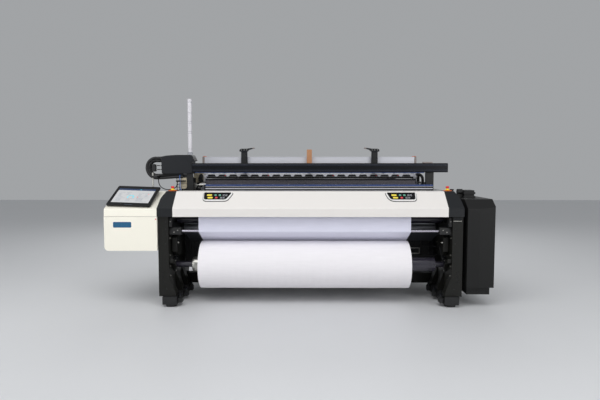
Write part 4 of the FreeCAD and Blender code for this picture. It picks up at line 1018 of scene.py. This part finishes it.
# ---- inner faces of the frames: bearing caps, gear case, brackets, links and bolts
for side, x, sign in (("left", -1065, 1), ("right", 1235, -1)):
    caps = [turned([(bore, 0), (radius, 0), (radius, length - 3), (radius - 3, length), (bore + 4, length),
        (bore + 3, length - 3), (bore, length - 3)], sign, at(x, depth, z), 0, 40)
        for depth, z, radius, length, bore in ((204, 318, 62, 16, 26), (330, 745, 46, 14, 26),
        (520, 600, 58, 18, 37.4), (230.1, 698.4, 27, 12, 15))]
    gather(side + "BearingCaps", caps, "castIron", smooth=True)
    bolts = []
    for depth, z, ring in ((204, 318, 52), (330, 745, 39), (520, 600, 49)):
        for k in range(6):
            a = math.radians(60 * k + 15)
            bolts.append(boltHead(at(x + sign * 15, depth + ring * math.cos(a), z + ring * math.sin(a)), 0,
                sign, 4.5, 3.5))
    bolts += [boltHead(at(x, depth, z), 0, sign, 7, 5) for depth, z in ((60, 250), (60, 330), (60, 420),
        (60, 560), (60, 660), (130, 200), (110, 720), (470, 470), (480, 700))]
    gather(side + "InnerBolts", bolts, "zincSteel", smooth=True)
    gear = [sideRun(rounded([(96, 440), (96, 560), (150, 604), (250, 604), (286, 560), (286, 440),
        (240, 400), (150, 400)], 16, 5), x, sign, 6, 52)]
    gather(side + "GearCase", gear, "legEnamel", 5)
    holder = [sideRun(rounded([(40, 590), (52, 650), (104, 650), (122, 612), (104, 584)], 8, 4), x, sign, 0,
        96), sideRun(rounded([(28, 655), (36, 735), (112, 735), (112, 700), (70, 655)], 6, 4), x, sign, 0,
        26)]
    gather(side + "BarHolder", holder, "blackRubber", 3)
    gather(side + "HolderBits", [boltHead(at(x + sign * reach, depth, z), 1, -1, radius, height)
        for reach, depth, z, radius, height in ((70, 43, 628, 5, 4), (40, 43, 612, 5, 4),
        (14, 29, 700, 4, 3), (62, 96, 520, 6, 5))], "zincSteel", smooth=True)
    gather(side + "LowerBracket", [sideRun(rounded([(30, 360), (30, 396), (90, 372), (150, 300), (136, 286),
        (84, 346)], 5, 4), x, sign, 0, 34)], "legEnamel", 3)
links = [pipe(np.array([at(1170, 150, 476), at(1210, 150, 296)]), 0.0032, 10),
    pipe(np.array([at(1186, 170, 480), at(1226, 170, 300)]), 0.0032, 10),
    pipe(np.array([at(-1010, 140, 560), at(-1036, 140, 380)]), 0.0032, 10)]
gather("pullRods", links, "darkSteel", smooth=True)
gather("lampBracket", [slab(rect(1238, 704, 1304, 709, 1), 11, 18.5)], "zincSteel", 0.6)
gather("terminalRow", [block(at(1242 + 10.5 * k, 12, 716), at(1250 + 10.5 * k, 18.5, 734))
    for k in range(6)], "boxEnamel", 1.2)
print("inner frames dressed")

# ---- core tube: collars at both ends and a bright flange on the left
core = at(0, 204, 318)
collars = [lathe([(58, a), (62, a + 1), (62, a + 5), (58, a + 6)], core, 0, 56)
    for a in (1084, 1098, 1120, -902)]
gather("coreCollars", collars, "tubeEnamel", body="cloth_winder", smooth=True)
gather("coreFlange", [lathe([(58, -904), (62, -903), (63, -901), (63, -850), (62, -848), (58, -847)], core,
    0, 64)], "zincSteel", body="cloth_winder", smooth=True)
gather("coreBolts", [boltHead(core + np.array([1.137, 0.040 * math.cos(a), 0.040 * math.sin(a)]), 0, 1, 6,
    5) for a in np.arange(6) * math.pi / 3], "zincSteel", body="cloth_winder", smooth=True)

# ---- legs and feet: slots, bolts, clamp blocks and levelling screws
legBits, slots = [], []
for side, x0, x1 in (("left", -1149, -1065), ("right", 1235, 1319)):
    middle = (x0 + x1) / 2
    slotX = middle - 12 if side == "left" else middle + 2
    slots += [slab(rect(slotX, z, slotX + 8, z + 24, 3.5), 17.6, 19) for z in (196, 232, 268)]
    for z in (150, 520, 640, 700):
        legBits.append(boltHead(at(middle + (22 if side == "left" else -22), 18, z), 1, -1, 6, 3.6))
gather("legSlots", slots, "blackGloss")
gather("legBolts", legBits, "castIron", smooth=True)
footBits, screws, nuts = [], [], []
for side, low, sign in (("left", -1119, 1), ("right", 1177, -1)):
    edge = low + 118 if sign > 0 else low
    for depth in (0, 214, 420, 1450):
        long = 112 if depth in (0, 1450) else 92
        near, far = (edge, edge + 34) if sign > 0 else (edge - 34, edge)
        footBits.append(block(at(near, depth + 22, 30), at(far, depth + long - 22, 70)))
        screws.append(lathe([(9, 0), (9, 66), (7, 68), (0.2, 68)],
            at((near + far) / 2, depth + long / 2, 36), 2, 20))
        nuts.append(lathe([(9.2, 0), (17, 0), (17, 11), (15, 13), (9.2, 13)],
            at((near + far) / 2, depth + long / 2, 70.5), 2, 6))
gather("footBlocks", footBits, "castIron", 4)
gather("footScrews", screws, "darkSteel", smooth=True)
gather("footNuts", nuts, "castIron")
print("legs and feet dressed")

# ---- back panels of the control box and the drive cabinet, with screws and a louvre
gather("boxBack", [slab(rect(-1574, 469, -1158, 786, 6), 416, 419.4)], "creamEnamel", 0.6)
gather("boxBackScrews", heads((-1562, -1366, -1170), (419.2,), (482, 772), 1, 1, 4.5, 2.4), "zincSteel",
    smooth=True)
gather("boxBackLouvres", [slab(rect(-1480, z, -1250, z + 4, 2), 419.2, 420) for z in range(540, 660, 13)],
    "boxEnamel")
gather("boxGlands", [lathe([(0.2, 0), (15, 0), (15, 8), (12, 11), (12, 20), (0.2, 20)], at(x, 340, 444.5),
    2, 6) for x in (-1500, -1440, -1380)], "blackNylon", 1)
gather("cabinetBack", [slab(rect(1357, 170, 1574, 872, 6), 634, 638)], "powderCoat", 0.6)
gather("cabinetBackScrews", heads((1368, 1563), (638,), (184, 400, 640, 860), 1, 1, 4.5, 1.8), "zincSteel",
    smooth=True)
gather("cabinetBackLouvres", [slab(rect(1400, z, 1530, z + 4, 2), 637.8, 639) for z in range(260, 400, 13)],
    "blackRubber")

# ---- warp beam: rim bead, spokes, hub and bolts on both flanges, and the let-off gear on the left
rims, spokes, hubs, beamBolts = [], [], [], []
for face, sign in ((-869, -1), (959, 1)):
    hub = at(face, 1400, 480)
    rims.append(turned([(382, -1), (399, -1), (399, 7), (396, 10), (386, 10), (382, 7)], sign, hub, 0, 96))
    hubs.append(turned([(46, -1), (118, -1), (118, 9), (112, 13), (78, 16), (72, 34), (46, 36)], sign, hub,
        0, 64))
    for k in range(8):
        a = math.pi / 4 * k + 0.2
        c, sn = math.cos(a), math.sin(a)
        corners = [(110, -9), (384, -6), (384, 6), (110, 9)]
        outline = [(1400 + u * c - v * sn, 480 + u * sn + v * c) for u, v in corners]
        spokes.append(sideRun(outline, face, sign, -1, 9))
        beamBolts.append(boltHead(at(face + sign * 13, 1400 + 97 * math.cos(a + 0.39),
            480 + 97 * math.sin(a + 0.39)), 0, sign, 7, 7))
gather("flangeRims", rims, "rolled", body="warp", smooth=True)
gather("flangeSpokes", spokes, "rolled", 1.5, body="warp")
gather("flangeHubs", hubs, "rolled", body="warp", smooth=True)
gather("flangeBolts", beamBolts, "zincSteel", body="warp", smooth=True)
teeth = 96
pitchTurn = 2 * math.pi / teeth
outline = []
for k in range(teeth):
    for share, size in ((0, 238), (0.22, 246), (0.5, 246), (0.72, 238)):
        a = pitchTurn * (k + share)
        outline.append((1400 + size * math.cos(a), 480 + size * math.sin(a)))
gather("letOffGear", [profileRun(outline, -968, -940)], "darkSteel", 0.4, body="warp")
gather("gearWeb", [lathe([(40, -975), (80, -975), (86, -969), (200, -969), (206, -972), (222, -972),
    (226, -968), (226, -966), (40, -966)], at(0, 1400, 480), 0, 64)], "castIron",
    body="warp", smooth=True)


# ---- motors and the harness drive: fins, end caps, boxes, cover plates
def finned(start, end, small, large, pitch):
    # a profile stepping between two radii every half pitch, closed on the shaft line
    shape = [(0.2, start)]
    for x in np.arange(start + 2, end - pitch, pitch):
        shape += [(small, x), (large, x + 0.6), (large, x + pitch * 0.42), (small, x + pitch * 0.42 + 0.6)]
    return shape + [(small, end - 1), (0.2, end)]


gather("mainMotorFins", [lathe(finned(-1046, -815, 112.6, 121, 10), at(0, 850, 490), 0, 72)], "boxEnamel")
gather("mainMotorCap", [lathe([(0.2, -815), (116, -815), (119, -811), (119, -795), (112, -786), (60, -780),
    (0.2, -780)], at(0, 850, 490), 0, 56)], "boxEnamel", smooth=True)
gather("mainMotorBox", [block(at(-990, 826, 590), at(-880, 906, 640)),
    block(at(-986, 830, 638), at(-884, 902, 646))], "boxEnamel", 4)
gather("mainMotorGland", [lathe([(0.2, -880), (11, -880), (11, -868), (8, -866), (8, -852), (0.2, -852)],
    at(0, 866, 618), 0, 16)], "blackNylon", smooth=True)
gather("letOffFins", [lathe(finned(-1050, -945, 62.4, 67, 8), at(0, 1210, 700), 0, 56)], "boxEnamel")
gather("letOffBox", [block(at(-1062, 1120, 610), at(-1010, 1290, 790))], "castIron", 8)
gather("harnessCover", [slab(rect(1000, 375, 1220, 625, 14), near, near + 9) for near in (852, 1179)]
    + [block(at(1020, 880, 638), at(1200, 1160, 650))], "legEnamel", 2)
gather("harnessCoverRibs", [slab(rect(1010, z, 1210, z + 8, 3), near, near + 9) for near in (1187, 844)
    for z in (420, 470, 520, 570)], "legEnamel", 1.5)
gather("harnessCoverBolts", [boltHead(at(x, d, z), 1, sign, 6, 4) for d, sign in ((852, -1), (1188, 1))
    for x in (1012, 1110, 1208) for z in (388, 612)], "zincSteel", smooth=True)
gather("breather", [lathe([(0.2, 650), (16, 650), (16, 656), (11, 660), (11, 672), (18, 676), (18, 688),
    (12, 694), (0.2, 694)], at(1060, 1100, 0), 2, 24)], "zincSteel", smooth=True)

# ---- rear cable duct, and the bolts and bearing bosses on the frames' outer sides
gather("rearDuct", [profileRun(rect(1288, 880, 1322, 912, 3), -1040, 1210)], "boxEnamel", 1)
gather("rearDuctLid", [profileRun(rect(1286, 911, 1324, 915, 1.5), -1042, 1212)], "blackNylon")
bolts = [boltHead(at(x, d, z), 0, sign, 9, 6) for x, sign in ((-1149, -1), (1319, 1))
    for d, z in ((1251, 895), (1212, 880), (330, 800), (90, 700), (90, 520), (1340, 940), (900, 860),
    (700, 860), (1500, 520), (1500, 700), (560, 240), (900, 200), (1200, 200))]
gather("frameBolts", bolts, "zincSteel", smooth=True)
bossRing = [turned([(0.2, 0), (52, 0), (52, 4), (46, 10), (0.2, 10)], sign, at(x, d, z), 0, 48)
    for x, sign in ((-1149, -1), (1319, 1)) for d, z in ((1400, 480), (520, 600))]
gather("frameBosses", bossRing, "legEnamel", smooth=True)

# ---- control box: taupe lines of painted shade along its creases and under its bottom edge, latch and lower vents; small knobs beside the right stop
# thin taupe strips at the crease on the front and side and under the bottom: painted shade
creaseShade = [slab(rect(-1578, 742.6, -1154, 744.4), -0.2, 1), profileRun(rect(20, 742.6, 418, 744.4), -1580,
    -1579), profileRun(rect(60, 465, 400, 466), -1560, -1170)]
gather("boxCreaseShade", creaseShade, "taupeCap")
gather("boxLatch", [slab(disc(-1160, 722, 5, 16), -0.1, 2)], "stopRed")
gather("boxVents", [profileRun(rect(150, z, 330, z + 5, 2.4), -1580, -1579) for z in range(520, 640, 14)],
    "boxEnamel")
gather("fairingKnobs", [lathe([(0.2, 0), (8, 0), (8, 3), (6, 5), (6, 9), (9, 11), (9, 18), (7, 20),
    (0.2, 20)], at(x, 232, 936), 2, 20) for x in (1276, 1292)], "blackNylon",
    smooth=True)
catches = [pipe(np.array([at(986, 470, z), at(1078, 470, z)]), 0.0035, 8) for z in (414, 366)]
catches += [pipe(np.array([at(x, 470, 366), at(x, 470, 414)]), 0.003, 8) for x in (990, 1074)]
catches += [pipe(np.array([at(-1016, 400, 700), at(-960, 400, 712)]), 0.004, 8)]
gather("catchRods", catches, "zincSteel", smooth=True)
gather("catchHolders", [block(at(1074, 460, 340), at(1234, 480, 356)),
    block(at(1080, 462, 424), at(1234, 478, 436)), block(at(-1064, 392, 690), at(-1012, 408, 704))],
    "castIron", 2)

# ---- signal tower: joints, lens rings and a base
tower = at(-987, 505, 0)
joints = [lathe([(17, z), (19.7, z + 0.6), (19.7, z + 3.4), (17, z + 4)], tower, 2, 40)
    for z in (1300, 1440, 1456, 1530, 1546, 1620, 1715)]
gather("towerJoints", joints, "rolled", smooth=True)
gather("towerBase", [lathe([(14, 1249), (27, 1249), (27, 1255), (22, 1259), (22, 1272), (19.4, 1275),
    (14, 1275)], tower, 2, 40)], "rolled", smooth=True)

# ---- cabinet: a seam, hinges, vents and plinth screws
gather("cabinetSeams", [slab(rect(1356, 160.5, 1576, 164.5), 20, 24)], "blackRubber")
hinges = [profileRun(rect(54, z, 72, z + 46, 3), 1579, 1580) for z in (250, 480, 700)]
gather("cabinetHinges", hinges, "darkSteel", 0.3)
vents = [profileRun(rect(300, z, 460, z + 5, 2), 1579, 1580) for z in range(420, 560, 12)]
gather("cabinetVents", vents, "blackRubber")
gather("cabinetScrews", heads((1380, 1450, 1520), (22,), (134,), 1, -1, 4.5, 3), "darkSteel",
    smooth=True)
print("cabinet dressed")

# ---- floor and light
studio = dict(floor="#D9DADC", sky=0.42, key=108.0, fill=62.0, side=32.0, rim=80.0)
floorData = bpy.data.meshes.new("floor")
floorData.from_pydata([(-12, -9, 0), (12, -9, 0), (12, 12, 0), (-12, 12, 0)], [], [[0, 1, 2, 3]])
floor = bpy.data.objects.new("floor", floorData)
bpy.context.collection.objects.link(floor)
floorData.materials.append(finish("studioFloor", studio["floor"], 0.55, grain=4.0, depth=0.01, spread=0.01))
world = bpy.data.worlds.new("studio")
bpy.context.scene.world = world
world.use_nodes = True
world.node_tree.nodes["Background"].inputs["Color"].default_value = linear("#EEF1F4")
world.node_tree.nodes["Background"].inputs["Strength"].default_value = studio["sky"]


def softBox(name, place, aim, size, watts):
    # a square soft light turned to face a point
    lamp = bpy.data.lights.new(name, "AREA")
    lamp.shape, lamp.size, lamp.size_y, lamp.energy = "RECTANGLE", size[0], size[1], watts
    holder = bpy.data.objects.new(name, lamp)
    bpy.context.collection.objects.link(holder)
    holder.location = place
    way = np.array(aim, float) - np.array(place, float)
    flat = math.hypot(way[0], way[1])
    holder.rotation_euler = (math.atan2(flat, -way[2]), 0, math.atan2(-way[0], way[1]))
    return holder


softBox("keyLight", (-0.6, -3.2, 4.2), (0, -0.5, 0.7), (5.0, 2.5), studio["key"])
softBox("fillLight", (3.8, -4.4, 2.0), (0.3, -0.6, 0.6), (2.4, 2.4), studio["fill"])
softBox("sideLight", (-3.9, -3.6, 1.4), (-1.0, -0.8, 0.7), (2.4, 2.0), studio["side"])
softBox("rimLight", (0, 3.8, 3.4), (0, 0, 0.9), (5.0, 1.6), studio["rim"])
print("studio lit")
